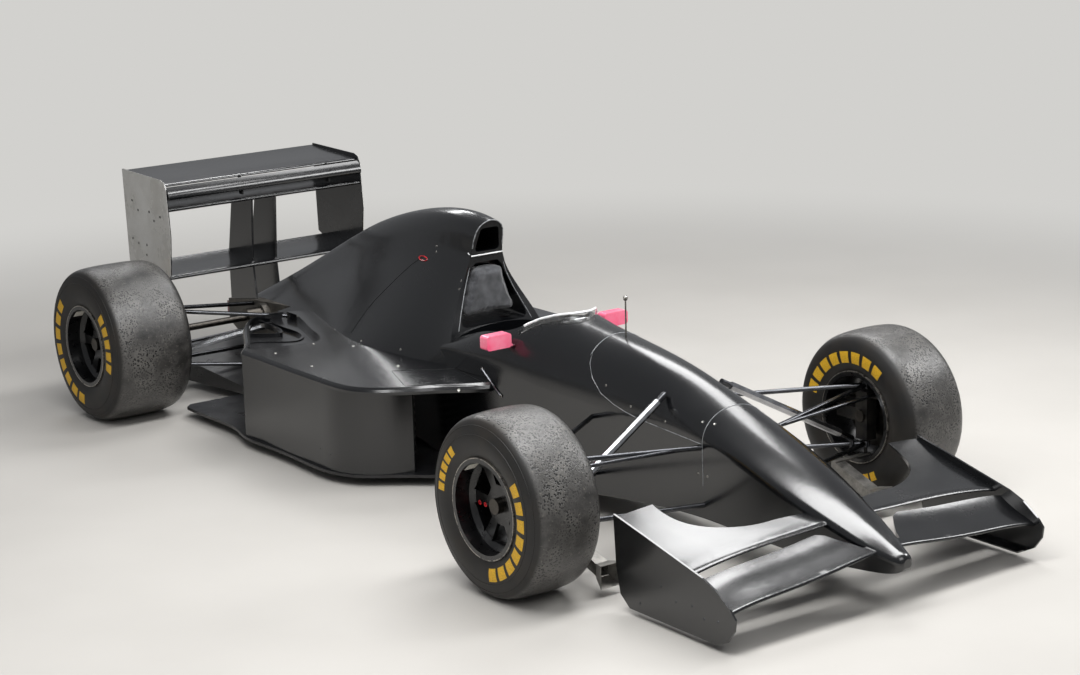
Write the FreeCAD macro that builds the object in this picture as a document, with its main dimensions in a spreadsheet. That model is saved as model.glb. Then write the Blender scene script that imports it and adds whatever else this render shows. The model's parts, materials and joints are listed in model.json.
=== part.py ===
import FreeCAD, Part
import math
import os
import Sketcher

# Open wheel racing car, single seater with slick tyres and wings.
# Frame: +Z up, nose toward -Y, +X is the driver's left.
# Origin: on the ground, on the centre line, half way along the car.
# Stations count rearwards from the front axle.

document = FreeCAD.newDocument("open_wheel_racing_car")
sheet = document.addObject("Spreadsheet::Sheet", "Sizes")

single_sizes = {
    # whole car; stations are counted for the drawn wheelbase and stretch with the real one
    "wheelbase": 2930.0,
    "drawn_wheelbase": 2930.0,
    "front_overhang": 988.0,
    "rear_overhang": 510.0,
    # front wheels
    "front_track_half": 845.0,
    "front_tyre_radius": 318.0,
    "front_tyre_half_width": 145.0,
    "front_tread_half_width": 122.0,
    "front_shoulder_drop": 9.0,
    # rear wheels
    "rear_track_half": 806.0,
    "rear_tyre_radius": 331.0,
    "rear_tyre_half_width": 186.0,
    "rear_tread_half_width": 166.0,
    "rear_shoulder_drop": 9.0,
    # tyre section
    "bead_radius": 166.0,
    "sidewall_low_radius": 212.0,
    "sidewall_high_drop": 62.0,
    "bead_inset": 14.0,
    "shoulder_round": 16.0,
    "sidewall_round": 34.0,
    # rims
    "rim_flange_radius": 175.0,
    "rim_flange_thickness": 7.0,
    "rim_barrel_radius": 157.0,
    "rim_ledge_radius": 140.0,
    "rim_face_inset": 66.0,
    "rim_face_thickness": 14.0,
    "rim_dish_depth": 16.0,
    "rim_hub_radius": 58.0,
    "rim_hub_depth": 34.0,
    "rim_window_outer_radius": 136.0,
    "rim_window_inner_radius": 68.0,
    "rim_window_outer_half": 52.0,
    "rim_window_inner_half": 20.0,
    "wheel_nut_radius": 27.0,
    "wheel_nut_length": 26.0,
    # hubs and brakes
    "axle_radius": 22.0,
    "axle_clearance": 0.05,
    "disc_radius": 128.0,
    "disc_thickness": 18.0,
    "disc_bell_radius": 64.0,
    "front_disc_offset": 34.0,
    "rear_disc_offset": 40.0,
    "front_axle_reach": 112.0,
    "rear_axle_reach": 124.0,
    "caliper_near": 78.0,
    "caliper_far": 132.0,
    "caliper_half_height": 42.0,
    "caliper_half_width": 31.0,
    "caliper_gap": 5.0,
    "caliper_foot_half": 24.0,
    # front uprights
    "kingpin_half": 768.0,
    "kingpin_radius": 6.0,
    "kingpin_clearance": 0.3,
    "upright_half_length": 30.0,
    "upright_half_thickness": 24.0,
    "front_upper_ball_height": 432.0,
    "front_lower_ball_height": 206.0,
    "ball_housing_radius": 15.0,
    "ball_housing_half_height": 12.0,
    "upright_end_gap": 8.0,
    "steering_arm_root_height": 394.0,
    "steering_arm_reach": 80.0,
    "steering_arm_height": 396.0,
    "steering_arm_radius": 9.0,
    # brake cooling ducts
    "duct_inner_half": 604.0,
    "duct_outer_half": 654.0,
    "duct_half_height": 22.0,
    "duct_wall": 3.0,
    "duct_front_station": -190.0,
    "duct_front_height": 78.0,
    "duct_rear_station": 12.0,
    "duct_rear_height": 148.0,
    "duct_bracket_height": 168.0,
    "duct_bracket_thickness": 5.0,
    # suspension members
    "wishbone_radius": 9.0,
    "track_rod_radius": 7.0,
    "track_rod_end_gap": 6.0,
    "pushrod_radius": 11.0,
    "rod_eye_gap": 1.5,
    # driveshafts
    "driveshaft_radius": 15.0,
    "driveshaft_inner_half": 128.0,
    "joint_boot_radius": 38.0,
    "joint_boot_length": 70.0,
    "final_drive_gap": 0.3,
    # tub and nose
    "nose_seam_station": -140.0,
    "hatch_seam_station": 506.0,
    "tub_bottom": 50.0,
    "tub_wall": 18.0,
    "cavity_front_station": -60.0,
    "cavity_rear_station": 1262.0,
    "cockpit_sill": 320.0,
    # engine cover
    "cover_wall": 8.0,
    "cover_hollow_station": 1400.0,
    "mouth_bottom_height": 850.0,
    "mouth_top_height": 946.0,
    "mouth_bottom_half": 60.0,
    "mouth_top_half": 42.0,
    "mouth_corner_radius": 16.0,
    "mouth_front_station": 1260.0,
    "mouth_rear_station": 1620.0,
    "recess_bottom_half": 168.0,
    "recess_top_half": 64.0,
    "recess_bottom_height": 566.0,
    "recess_top_height": 806.0,
    "recess_rear_station": 1380.0,
    "recess_corner_radius": 24.0,
    # sidepods
    "pod_wall": 8.0,
    "pod_wall_top": 386.0,
    "deck_edge_height": 396.0,
    "deck_top_height": 410.0,
    "deck_rise": 34.0,
    "deck_lip": 14.0,
    "deck_inner_half": 150.0,
    "outlet_rim": 24.0,
    "slat_thickness": 9.0,
    "slat_height": 24.0,
    "slat_base": 384.0,
    "terrace_limit_station": 2700.0,
    "outer_terrace_height": 398.0,
    "inner_terrace_height": 388.0,
    "terrace_thickness": 6.0,
    # floor and diffuser
    "ride_height": 38.0,
    "floor_thickness": 12.0,
    "diffuser_front_station": 2560.0,
    "diffuser_rear_station": 3330.0,
    "diffuser_rise": 120.0,
    "diffuser_half_front": 300.0,
    "diffuser_half_rear": 430.0,
    "diffuser_thickness": 6.0,
    "strake_thickness": 5.0,
    # front wing
    "front_wing_half": 692.0,
    "front_wing_nose_station": -905.0,
    "front_wing_tail_station": -748.0,
    "front_wing_thickness": 20.0,
    "flap_nose_station": -722.0,
    "flap_tail_station": -347.0,
    "flap_thickness": 20.0,
    "flap_camber": 14.0,
    "front_endplate_thickness": 8.0,
    "foot_width": 34.0,
    "foot_thickness": 6.0,
    "fence_height": 24.0,
    "fence_thickness": 4.0,
    # rear wing
    "rear_wing_half": 494.0,
    "top_flap_nose_station": 3056.0,
    "top_flap_nose_height": 942.0,
    "top_flap_tail_station": 3436.0,
    "top_flap_tail_height": 966.0,
    "top_flap_thickness": 18.0,
    "slat_plane_nose_station": 3022.0,
    "slat_plane_nose_height": 884.0,
    "slat_plane_tail_station": 3044.0,
    "slat_plane_tail_height": 938.0,
    "slat_plane_thickness": 12.0,
    "slat_plane_camber": -4.0,
    "top_flap_camber": 6.0,
    "lower_element_nose_station": 3030.0,
    "lower_element_nose_height": 838.0,
    "lower_element_tail_station": 3235.0,
    "lower_element_tail_height": 866.0,
    "lower_element_thickness": 22.0,
    "beam_nose_station": 3045.0,
    "beam_nose_height": 532.0,
    "beam_tail_station": 3300.0,
    "beam_tail_height": 566.0,
    "beam_thickness": 24.0,
    "wing_camber": 12.0,
    "rear_endplate_thickness": 6.0,
    "pylon_thickness": 10.0,
    "pylon_half_gap": 60.0,
    # screen, mirrors, pitot
    "screen_thickness": 4.0,
    "mirror_half_gap": 222.0,
    "mirror_width": 112.0,
    "mirror_height": 55.0,
    "mirror_depth": 46.0,
    "mirror_station": 870.0,
    "mirror_centre_height": 610.0,
    "mirror_round": 12.0,
    "mirror_stalk_radius": 5.0,
    "mirror_stalk_inner_half": 180.0,
    "mirror_stalk_drop": 60.0,
    "pitot_station": 460.0,
    "pitot_height": 142.0,
    "pitot_radius": 3.0,
    "pitot_ball_radius": 8.0,
    # headrest, seat and controls
    "pad_bottom_half": 132.0,
    "pad_top_half": 66.0,
    "pad_bottom_height": 598.0,
    "pad_top_height": 788.0,
    "pad_front_station": 1324.0,
    "pad_corner_radius": 20.0,
    "steering_wheel_radius": 125.0,
    "steering_rim_radius": 13.0,
    "steering_wheel_station": 840.0,
    "steering_wheel_height": 520.0,
    "steering_wheel_tilt_deg": 68.0,
    "steering_hub_radius": 34.0,
    "steering_hub_thickness": 18.0,
    "column_radius": 11.0,
    "seat_half_width": 165.0,
    # engine, gearbox, radiators
    "engine_front_station": 1700.0,
    "engine_rear_station": 2300.0,
    "engine_half_width": 148.0,
    "engine_bottom": 50.0,
    "engine_top": 455.0,
    "radiator_station": 1480.0,
    "radiator_thickness": 45.0,
    "radiator_inner_half": 268.0,
    "radiator_width": 340.0,
    "radiator_bottom": 50.0,
    "radiator_height": 300.0,
    "rain_light_width": 100.0,
    "rain_light_height": 62.0,
    "rain_light_depth": 30.0,
    "rain_light_bottom": 250.0,
}

# Cross-sections and outlines, front to rear.
section_tables = {
    "tub": (
        ("station", "half_width", "bottom_half", "bottom", "crease", "top"),
        (
            (-988.0, 17.0, 13.0, 152.0, 161.0, 182.0),
            (-978.0, 30.0, 24.0, 140.0, 162.0, 195.0),
            (-958.0, 39.0, 32.0, 132.0, 167.0, 204.0),
            (-880.0, 67.0, 58.0, 124.0, 189.0, 239.0),
            (-740.0, 101.0, 92.0, 122.0, 235.0, 302.0),
            (-560.0, 132.0, 124.0, 128.0, 295.0, 376.0),
            (-360.0, 147.0, 142.0, 138.0, 362.0, 448.0),
            (-140.0, 148.0, 144.0, 142.0, 410.0, 524.0),
            (120.0, 154.0, 150.0, 128.0, 426.0, 605.0),
            (450.0, 178.0, 172.0, 96.0, 438.0, 659.0),
            (700.0, 208.0, 200.0, 68.0, 456.0, 690.0),
            (860.0, 234.0, 224.0, 50.0, 478.0, 706.0),
            (1100.0, 248.0, 236.0, 50.0, 500.0, 650.0),
            (1290.0, 236.0, 222.0, 50.0, 496.0, 560.0),
            (1430.0, 220.0, 206.0, 50.0, 468.0, 520.0),
            (1700.0, 190.0, 180.0, 50.0, 430.0, 470.0),
        ),
    ),
    "hatch_seam": (
        ("station", "height"),
        (
            (270.0, 446.0),
            (331.0, 462.0),
            (398.0, 488.0),
            (455.0, 534.0),
            (490.0, 579.0),
            (504.0, 614.0),
            (506.0, 660.0),
        ),
    ),
    "cockpit_edge": (
        ("station", "half_width"),
        (
            (724.0, 0.0),
            (746.0, 46.0),
            (796.0, 90.0),
            (846.0, 128.0),
            (892.0, 166.0),
            (950.0, 188.0),
            (1060.0, 196.0),
            (1262.0, 196.0),
        ),
    ),
    "cover": (
        (
            "station", "top", "ridge_half", "ridge_height", "upper_half", "upper_height",
            "middle_half", "middle_height", "lower_half", "lower_height", "base_half", "base",
        ),
        (
            (1268.0, 968.0, 47.0, 948.0, 71.0, 846.0, 130.0, 712.0, 207.0, 570.0, 232.0, 430.0),
            (1460.0, 995.0, 47.0, 974.0, 80.0, 850.0, 136.0, 712.0, 214.0, 562.0, 262.0, 430.0),
            (1650.0, 977.0, 42.0, 954.0, 84.0, 836.0, 146.0, 700.0, 226.0, 556.0, 292.0, 430.0),
            (1870.0, 928.0, 36.0, 904.0, 84.0, 790.0, 146.0, 664.0, 222.0, 532.0, 296.0, 420.0),
            (2100.0, 853.0, 30.0, 828.0, 76.0, 730.0, 134.0, 620.0, 198.0, 504.0, 262.0, 404.0),
            (2426.0, 706.0, 22.0, 684.0, 58.0, 610.0, 100.0, 530.0, 144.0, 448.0, 186.0, 380.0),
            (2772.0, 542.0, 17.0, 526.0, 42.0, 480.0, 70.0, 434.0, 98.0, 388.0, 122.0, 346.0),
            (3050.0, 418.0, 13.0, 407.0, 28.0, 380.0, 46.0, 352.0, 62.0, 326.0, 76.0, 304.0),
            (3263.0, 324.0, 7.0, 318.0, 14.0, 310.0, 20.0, 302.0, 24.0, 294.0, 27.0, 287.0),
        ),
    ),
    # side view of the engine cover's front edge
    "cover_front": (
        ("station", "height"),
        (
            (1281.0, 400.0),
            (1283.0, 550.0),
            (1312.0, 640.0),
            (1333.0, 728.0),
            (1333.0, 835.0),
            (1318.0, 905.0),
            (1300.0, 967.0),
            (1294.0, 1010.0),
        ),
    ),
    # plan of the sidepod's side wall, inlet edge first
    "pod_side": (
        ("station", "half_width"),
        (
            (1237.0, 437.0),
            (1280.0, 525.0),
            (1352.0, 612.0),
            (1432.0, 656.0),
            (1560.0, 668.0),
            (1760.0, 670.0),
            (1950.0, 668.0),
            (2130.0, 672.0),
        ),
    ),
    # plan of the sidepod's deck, from the tip beside the tub to the tail
    "pod_deck": (
        ("station", "half_width"),
        (
            (968.0, 262.0),
            (1036.0, 352.0),
            (1090.0, 414.0),
            (1143.0, 492.0),
            (1182.0, 540.0),
            (1236.0, 596.0),
            (1330.0, 654.0),
            (1430.0, 672.0),
            (1560.0, 676.0),
            (1760.0, 678.0),
            (1950.0, 676.0),
            (2122.0, 678.0),
        ),
    ),
    "pod_tail": (
        ("station", "half_width"),
        (
            (2150.0, 664.0),
            (2330.0, 548.0),
            (2500.0, 446.0),
            (2545.0, 400.0),
            (2552.0, 330.0),
            (2530.0, 250.0),
            (2490.0, 190.0),
        ),
    ),
    # plan of the hot air outlet in the deck's tail
    "pod_outlet": (
        ("station", "half_width"),
        (
            (2110.0, 640.0),
            (2060.0, 560.0),
            (2022.0, 450.0),
            (2004.0, 390.0),
            (2040.0, 352.0),
            (2160.0, 312.0),
            (2330.0, 256.0),
            (2440.0, 224.0),
        ),
    ),
    # plan of the curved slats that stand in the outlet
    "outer_slat": (
        ("station", "half_width"),
        (
            (2228.0, 602.0),
            (2166.0, 480.0),
            (2130.0, 400.0),
            (2160.0, 358.0),
            (2300.0, 322.0),
            (2538.0, 276.0),
        ),
    ),
    "inner_slat": (
        ("station", "half_width"),
        (
            (2362.0, 520.0),
            (2306.0, 430.0),
            (2290.0, 392.0),
            (2330.0, 362.0),
            (2440.0, 344.0),
            (2544.0, 334.0),
        ),
    ),
    "gearbox": (
        ("station", "half_width", "bottom", "top"),
        (
            (2300.0, 140.0, 80.0, 440.0),
            (2480.0, 112.0, 84.0, 424.0),
            (2780.0, 104.0, 96.0, 400.0),
            (3060.0, 84.0, 130.0, 372.0),
            (3330.0, 58.0, 230.0, 330.0),
        ),
    ),
    "floor_edge": (
        ("station", "half_width"),
        (
            (940.0, 216.0),
            (1075.0, 300.0),
            (1160.0, 400.0),
            (1226.0, 470.0),
            (1292.0, 552.0),
            (1370.0, 632.0),
            (1450.0, 668.0),
            (1680.0, 680.0),
            (1931.0, 680.0),
            (2130.0, 680.0),
            (2260.0, 648.0),
            (2420.0, 640.0),
            (2690.0, 640.0),
        ),
    ),
    "floor_tail": (
        ("station", "half_width"),
        (
            (2720.0, 610.0),
            (2720.0, 352.0),
            (2560.0, 330.0),
            (2560.0, 0.0),
        ),
    ),
    "wing_main": (
        ("half_width", "nose_height", "tail_height"),
        (
            (692.0, 126.0, 196.0),
            (394.0, 157.0, 224.0),
            (221.0, 174.0, 240.0),
            (0.0, 194.0, 258.0),
        ),
    ),
    # how far the main plane's tail is cut back beside the nose
    "wing_root": (
        ("half_width", "station"),
        (
            (211.0, -738.0),
            (155.0, -762.0),
            (124.0, -800.0),
            (100.0, -832.0),
            (82.0, -868.0),
            (0.0, -872.0),
        ),
    ),
    "wing_flap": (
        ("half_width", "nose_height", "tail_height"),
        (
            (692.0, 208.0, 314.0),
            (443.0, 240.0, 330.0),
            (200.0, 251.0, 336.0),
            (100.0, 255.0, 340.0),
        ),
    ),
    "flap_scoop": (
        ("station", "half_width"),
        (
            (-350.0, 540.0),
            (-430.0, 531.0),
            (-488.0, 506.0),
            (-530.0, 470.0),
            (-566.0, 420.0),
            (-594.0, 360.0),
            (-608.0, 300.0),
            (-612.0, 230.0),
            (-622.0, 160.0),
            (-626.0, 100.0),
        ),
    ),
    "flap_fence": (
        ("station", "half_width"),
        (
            (-465.0, 634.0),
            (-578.0, 584.0),
            (-668.0, 540.0),
            (-706.0, 546.0),
            (-714.0, 576.0),
        ),
    ),
    "front_endplate": (
        ("station", "height"),
        (
            (-944.0, 128.0),
            (-938.0, 88.0),
            (-905.0, 44.0),
            (-862.0, 22.0),
            (-420.0, 22.0),
            (-372.0, 60.0),
            (-352.0, 150.0),
            (-340.0, 326.0),
            (-512.0, 288.0),
            (-612.0, 265.0),
            (-786.0, 225.0),
            (-850.0, 200.0),
            (-918.0, 156.0),
        ),
    ),
    "rear_endplate": (
        ("station", "height"),
        (
            (3440.0, 974.0),
            (3080.0, 968.0),
            (3050.0, 958.0),
            (3034.0, 930.0),
            (3018.0, 720.0),
            (3036.0, 548.0),
            (3060.0, 506.0),
            (3300.0, 506.0),
            (3420.0, 560.0),
        ),
    ),
    "pylon": (
        ("station", "height"),
        (
            (3060.0, 372.0),
            (3290.0, 340.0),
            (3290.0, 556.0),
            (3230.0, 860.0),
            (3060.0, 838.0),
            (3080.0, 545.0),
        ),
    ),
    "seat": (
        ("station", "height"),
        (
            (905.0, 150.0),
            (962.0, 84.0),
            (1130.0, 76.0),
            (1206.0, 120.0),
            (1262.0, 430.0),
            (1262.0, 482.0),
            (1248.0, 482.0),
            (1192.0, 130.0),
            (1126.0, 92.0),
            (966.0, 98.0),
            (915.0, 158.0),
        ),
    ),
    "screen": (
        ("station", "half_width", "bottom", "top"),
        (
            (700.0, 0.0, 660.0, 712.0),
            (722.0, 60.0, 650.0, 710.0),
            (776.0, 106.0, 620.0, 698.0),
            (826.0, 146.0, 590.0, 676.0),
            (870.0, 188.0, 560.0, 642.0),
        ),
    ),
}

# Points where suspension members meet the car: half width, station, height.
point_tables = {
    "front_upper_fore": (120.0, -138.0, 395.0),
    "front_upper_aft": (150.0, 462.0, 392.0),
    "front_lower_fore": (100.0, -150.0, 189.0),
    "front_lower_aft": (140.0, 462.0, 178.0),
    "front_track_inner": (120.0, -120.0, 396.0),
    "front_push_inner": (130.0, 81.0, 543.0),
    "front_push_outer": (704.0, 6.0, 236.0),
    "rear_upper_ball": (720.0, 2930.0, 448.0),
    "rear_lower_ball": (720.0, 2930.0, 206.0),
    "rear_upper_fore": (60.0, 2494.0, 386.0),
    "rear_upper_aft": (50.0, 3060.0, 352.0),
    "rear_lower_fore": (60.0, 2640.0, 150.0),
    "rear_lower_aft": (50.0, 3050.0, 168.0),
    "rear_push_inner": (70.0, 2560.0, 400.0),
    "rear_push_outer": (705.0, 2925.0, 222.0),
    "rear_toe_inner": (50.0, 3050.0, 250.0),
    "rear_toe_outer": (712.0, 2955.0, 250.0),
}

row_number = 0
cells = list(single_sizes.items())
for table_name, (columns, rows) in section_tables.items():
    for index, row in enumerate(rows):
        for column, amount_mm in zip(columns, row):
            cells.append(("%s_%s_row%d" % (table_name, column, index), amount_mm))
for point_name, amounts in point_tables.items():
    for column, amount_mm in zip(("half_width", "station", "height"), amounts):
        cells.append(("%s_%s" % (point_name, column), amount_mm))
for alias, amount_mm in cells:
    row_number += 1
    sheet.set("A%d" % row_number, alias)
    sheet.set("B%d" % row_number, str(amount_mm))
    sheet.setAlias("B%d" % row_number, alias)
document.recompute()


def size(alias):
    return float(sheet.get(alias))


def table(table_name):
    columns, rows = section_tables[table_name]
    return [
        {column: size("%s_%s_row%d" % (table_name, column, index)) for column in columns}
        for index in range(len(rows))
    ]


def outline_of(table_name, *columns):
    return [tuple(row[column] for column in columns) for row in table(table_name)]


car_length = size("front_overhang") + size("wheelbase") + size("rear_overhang")
front_axle_y = size("front_overhang") - car_length / 2
rear_axle_station = size("drawn_wheelbase")
x_axis = FreeCAD.Vector(1, 0, 0)
y_axis = FreeCAD.Vector(0, 1, 0)
z_axis = FreeCAD.Vector(0, 0, 1)
sides = {"left": 1, "right": -1}
nodes = {}


# Stations between the axles stretch with the wheelbase, those behind move with the rear axle.
def stretched(station):
    drawn = size("drawn_wheelbase")
    if station <= 0:
        return station
    if station >= drawn:
        return station - drawn + size("wheelbase")
    return station * size("wheelbase") / drawn


def place(half_width, station, height):
    return FreeCAD.Vector(half_width, front_axle_y + stretched(station), height)


def named_point(point_name, side=1):
    return place(
        side * size(point_name + "_half_width"),
        size(point_name + "_station"),
        size(point_name + "_height"),
    )


def add_shape(node, shape):
    feature = document.addObject("Part::Feature", node)
    feature.Shape = shape
    feature.Placement = shape.Placement
    feature.Label = node
    nodes[node] = feature
    return feature


def mirrored(shape):
    return shape.mirror(FreeCAD.Vector(), x_axis)


def add_pair(node, left_shape):
    add_shape(node + "_left", left_shape)
    add_shape(node + "_right", mirrored(left_shape))


def add_both(node, left_shape):
    both = [left_shape, mirrored(left_shape)]
    add_shape(node, Part.makeCompound([solid for shape in both for solid in shape.Solids]))


def biggest(shape):
    return sorted(shape.Solids, key=lambda solid: solid.Volume)[-1]


# Parametric profile bodies.
def amount(terms):
    return sum(factor * size(alias) for alias, factor in terms.items())


def formula(terms):
    return " + ".join("%s * Sizes.%s" % (factor, alias) for alias, factor in terms.items())


def origin_feature(body, role):
    for feature in body.Origin.OriginFeatures:
        if feature.Role == role:
            return feature
    raise ValueError(role)


def outline_sketch(body, sketch_name, role, corners):
    sketch = body.newObject("Sketcher::SketchObject", sketch_name)
    sketch.AttachmentSupport = [(origin_feature(body, role), "")]
    sketch.MapMode = "FlatFace"
    spots = [FreeCAD.Vector(amount(across), amount(up), 0) for across, up in corners]
    count = len(corners)
    for index in range(count):
        sketch.addGeometry(Part.LineSegment(spots[index], spots[(index + 1) % count]), False)
    for index in range(count):
        sketch.addConstraint(Sketcher.Constraint("Coincident", index, 2, (index + 1) % count, 1))
    for index, (across, up) in enumerate(corners):
        for kind, terms in (("DistanceX", across), ("DistanceY", up)):
            number = sketch.addConstraint(
                Sketcher.Constraint(kind, -1, 1, index, 1, amount(terms))
            )
            sketch.setExpression("Constraints[%d]" % number, formula(terms))
    return sketch


def revolved_body(node, corners):
    body = document.addObject("PartDesign::Body", node)
    sketch = outline_sketch(body, node + "_outline", "XY_Plane", corners)
    turn = body.newObject("PartDesign::Revolution", node + "_turn")
    turn.Profile = sketch
    turn.ReferenceAxis = (sketch, ["H_Axis"])
    turn.Angle = 360.0
    body.Tip = turn
    document.recompute()
    return body


def finish_body(node, body, spot):
    body.Placement = FreeCAD.Placement(spot, FreeCAD.Rotation())
    body.Label = node
    nodes[node] = body
    return body


match_tolerance = 0.01


def circle_edges(shape, wanted):
    names = []
    for number, edge in enumerate(shape.Edges, 1):
        if not hasattr(edge.Curve, "Radius"):
            continue
        centre_x = edge.Curve.Center.x
        for offset, radius in wanted:
            offset_error = abs(abs(centre_x) - offset)
            radius_error = abs(edge.Curve.Radius - radius)
            if max(offset_error, radius_error) < match_tolerance:
                names.append("Edge%d" % number)
    return names


def rod(start, end, radius):
    along = end - start
    return Part.makeCylinder(radius, along.Length, start, along)


def upright_cylinder(centre, radius, half_height):
    return Part.makeCylinder(radius, 2 * half_height, centre - z_axis * half_height, z_axis)


def spline_through(spots):
    curve = Part.BSplineCurve()
    curve.interpolate(spots)
    return curve.toShape()


def polygon_face(spots):
    return Part.Face(Part.makePolygon(list(spots) + [spots[0]]))


def plate_along_x(outline, low_x, high_x):
    face = polygon_face([place(low_x, station, height) for station, height in outline])
    return face.extrude(FreeCAD.Vector(high_x - low_x, 0, 0))


def box_between(low, high):
    extent = high - low
    return Part.makeBox(extent.x, extent.y, extent.z, low)


# A wing section: thickness above and below the middle line, as shares of the chord and thickness.
section_shares = (
    (0.0, 0.0), (0.02, 0.26), (0.08, 0.44), (0.2, 0.56), (0.4, 0.56), (0.65, 0.38), (0.85, 0.18),
)
tail_share = 0.06


def aerofoil_wire(nose, tail, thickness, camber):
    chord = tail - nose
    length = chord.Length
    along = FreeCAD.Vector(chord).normalize()
    upward = x_axis.cross(along)
    upper = []
    lower = []
    for along_share, half_share in section_shares:
        middle = nose + along * (length * along_share)
        sag = -4 * camber * along_share * (1 - along_share)
        upper.append(middle + upward * (sag + thickness * half_share))
        lower.append(middle + upward * (sag - thickness * half_share))
    upper.append(tail + upward * (thickness * tail_share))
    lower.append(tail - upward * (thickness * tail_share))
    loop = list(reversed(upper)) + lower[1:]
    return Part.Wire([spline_through(loop), Part.makeLine(loop[-1], loop[0])])


def wing_element(prefix, half_width, thickness, camber):
    nose = place(-half_width, size(prefix + "_nose_station"), size(prefix + "_nose_height"))
    tail = place(-half_width, size(prefix + "_tail_station"), size(prefix + "_tail_height"))
    face = Part.Face(aerofoil_wire(nose, tail, thickness, camber))
    return face.extrude(FreeCAD.Vector(2 * half_width, 0, 0))


def wing_through(rows, nose_station, tail_station, thickness, camber):
    wires = []
    for row in rows:
        wires.append(aerofoil_wire(
            place(row["half_width"], nose_station, row["nose_height"]),
            place(row["half_width"], tail_station, row["tail_height"]),
            thickness, camber,
        ))
    return Part.makeLoft(wires, True, False)


# A level face from a plan outline; the corners list splits the outline into smooth runs.
def plan_wire(runs, height):
    edges = []
    for run in runs:
        spots = [place(half_width, station, height) for station, half_width in run]
        if len(spots) == 2:
            edges.append(Part.makeLine(spots[0], spots[1]))
        else:
            edges.append(spline_through(spots))
    return Part.Wire(edges)


half_share = 0.5

# Cutting blocks reach past the car on every side.
reach_share = 4
overrun_share = 2
wide = size("front_tyre_radius") * reach_share
front_limit_y = front_axle_y - overrun_share * size("front_overhang")
rear_limit_y = front_axle_y + overrun_share * size("wheelbase")


def slab(low_y, high_y, low_z, high_z):
    return box_between(FreeCAD.Vector(-wide, low_y, low_z), FreeCAD.Vector(wide, high_y, high_z))


# Tub and nose skin. The share rounds the crown: 1 is an ellipse, less is squarer.
crown_share = 2 / 2.1
crown_steps = 16


def tub_wire(row, inset):
    half = row["half_width"] - inset
    bottom_half = row["bottom_half"] - inset
    bottom = row["bottom"] + inset
    crease = row["crease"]
    top = row["top"] - inset
    station = row["station"]
    spots = []
    for index in range(crown_steps + 1):
        angle = math.pi * index / crown_steps
        across = math.cos(angle)
        spots.append(place(
            half * math.copysign(abs(across) ** crown_share, across),
            station,
            crease + (top - crease) * abs(math.sin(angle)) ** crown_share,
        ))
    crown = spline_through(spots)
    right_low = place(-bottom_half, station, bottom)
    left_low = place(bottom_half, station, bottom)
    return Part.Wire([
        crown,
        Part.makeLine(spots[-1], right_low),
        Part.makeLine(right_low, left_low),
        Part.makeLine(left_low, spots[0]),
    ])


def blended_row(rows, station):
    for before, after in zip(rows, rows[1:]):
        if before["station"] <= station <= after["station"]:
            part_way = (station - before["station"]) / (after["station"] - before["station"])
            return {key: before[key] + part_way * (after[key] - before[key]) for key in before}
    raise ValueError(station)


tub_rows = table("tub")
skin = Part.makeLoft([tub_wire(row, 0.0) for row in tub_rows], True, False)
skin = skin.common(slab(front_limit_y, rear_limit_y, size("tub_bottom"), wide))
nose_seam_y = place(0, size("nose_seam_station"), 0).y
nose = skin.common(slab(front_limit_y, nose_seam_y, 0, wide))
tub = skin.common(slab(nose_seam_y, rear_limit_y, 0, wide))

# The hollow of the tub, from the pedals to the seat back.
cavity_rows = [blended_row(tub_rows, size("cavity_front_station"))]
for row in tub_rows:
    if size("cavity_front_station") < row["station"] < size("cavity_rear_station"):
        cavity_rows.append(row)
cavity_rows.append(blended_row(tub_rows, size("cavity_rear_station")))
cavity = Part.makeLoft([tub_wire(row, size("tub_wall")) for row in cavity_rows], True, False)
cavity = cavity.common(slab(front_limit_y, rear_limit_y, size("tub_bottom") + size("tub_wall"), wide))

# The cockpit opening through the top skin.
edge_spots = outline_of("cockpit_edge", "station", "half_width")
front_run = [(station, -half_width) for station, half_width in reversed(edge_spots[1:-1])]
front_run += edge_spots[:-1]
rear_left = edge_spots[-1]
rear_right = (rear_left[0], -rear_left[1])
opening_wire = plan_wire([
    front_run,
    [front_run[-1], rear_left],
    [rear_left, rear_right],
    [rear_right, front_run[0]],
], size("cockpit_sill"))
opening = Part.Face(opening_wire).extrude(z_axis * wide)
shell = tub.cut(cavity)

# The hatch over the pedals, above the crease of the tub.
seam_outline = outline_of("hatch_seam", "station", "height")
hatch_outline = [(size("nose_seam_station"), blended_row(tub_rows, size("nose_seam_station"))["crease"])]
for row in tub_rows:
    if size("nose_seam_station") < row["station"] < seam_outline[0][0]:
        hatch_outline.append((row["station"], row["crease"]))
hatch_outline += seam_outline
hatch_outline += [(size("hatch_seam_station"), wide), (size("nose_seam_station"), wide)]
hatch_zone = plate_along_x(hatch_outline, -wide, wide)
hatch = shell.common(hatch_zone)
monocoque = shell.cut(hatch_zone).cut(opening)

# Front wing: a main plane that rises to the nose, two flaps, fences and end plates.
main_rows = table("wing_main")
main_rows = main_rows + [dict(row, half_width=-row["half_width"]) for row in reversed(main_rows[:-1])]
main_plane = wing_through(
    main_rows, size("front_wing_nose_station"), size("front_wing_tail_station"),
    size("front_wing_thickness"), size("wing_camber"),
)
root_outline = [(station, half_width) for half_width, station in outline_of(
    "wing_root", "half_width", "station",
)]
root_outline += [(station, -half_width) for station, half_width in reversed(root_outline[:-1])]
behind_station = size("flap_tail_station")
root_outline += [(behind_station, root_outline[-1][1]), (behind_station, root_outline[0][1])]
root_cutter = polygon_face([
    place(half_width, station, 0) for station, half_width in root_outline
]).extrude(z_axis * wide)
main_plane = main_plane.cut(root_cutter)
nose = nose.cut(main_plane)
add_shape("nose_cone", biggest(nose))
add_shape("front_hatch", hatch)
add_shape("monocoque", biggest(monocoque))
add_shape("front_wing_main", main_plane)

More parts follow.
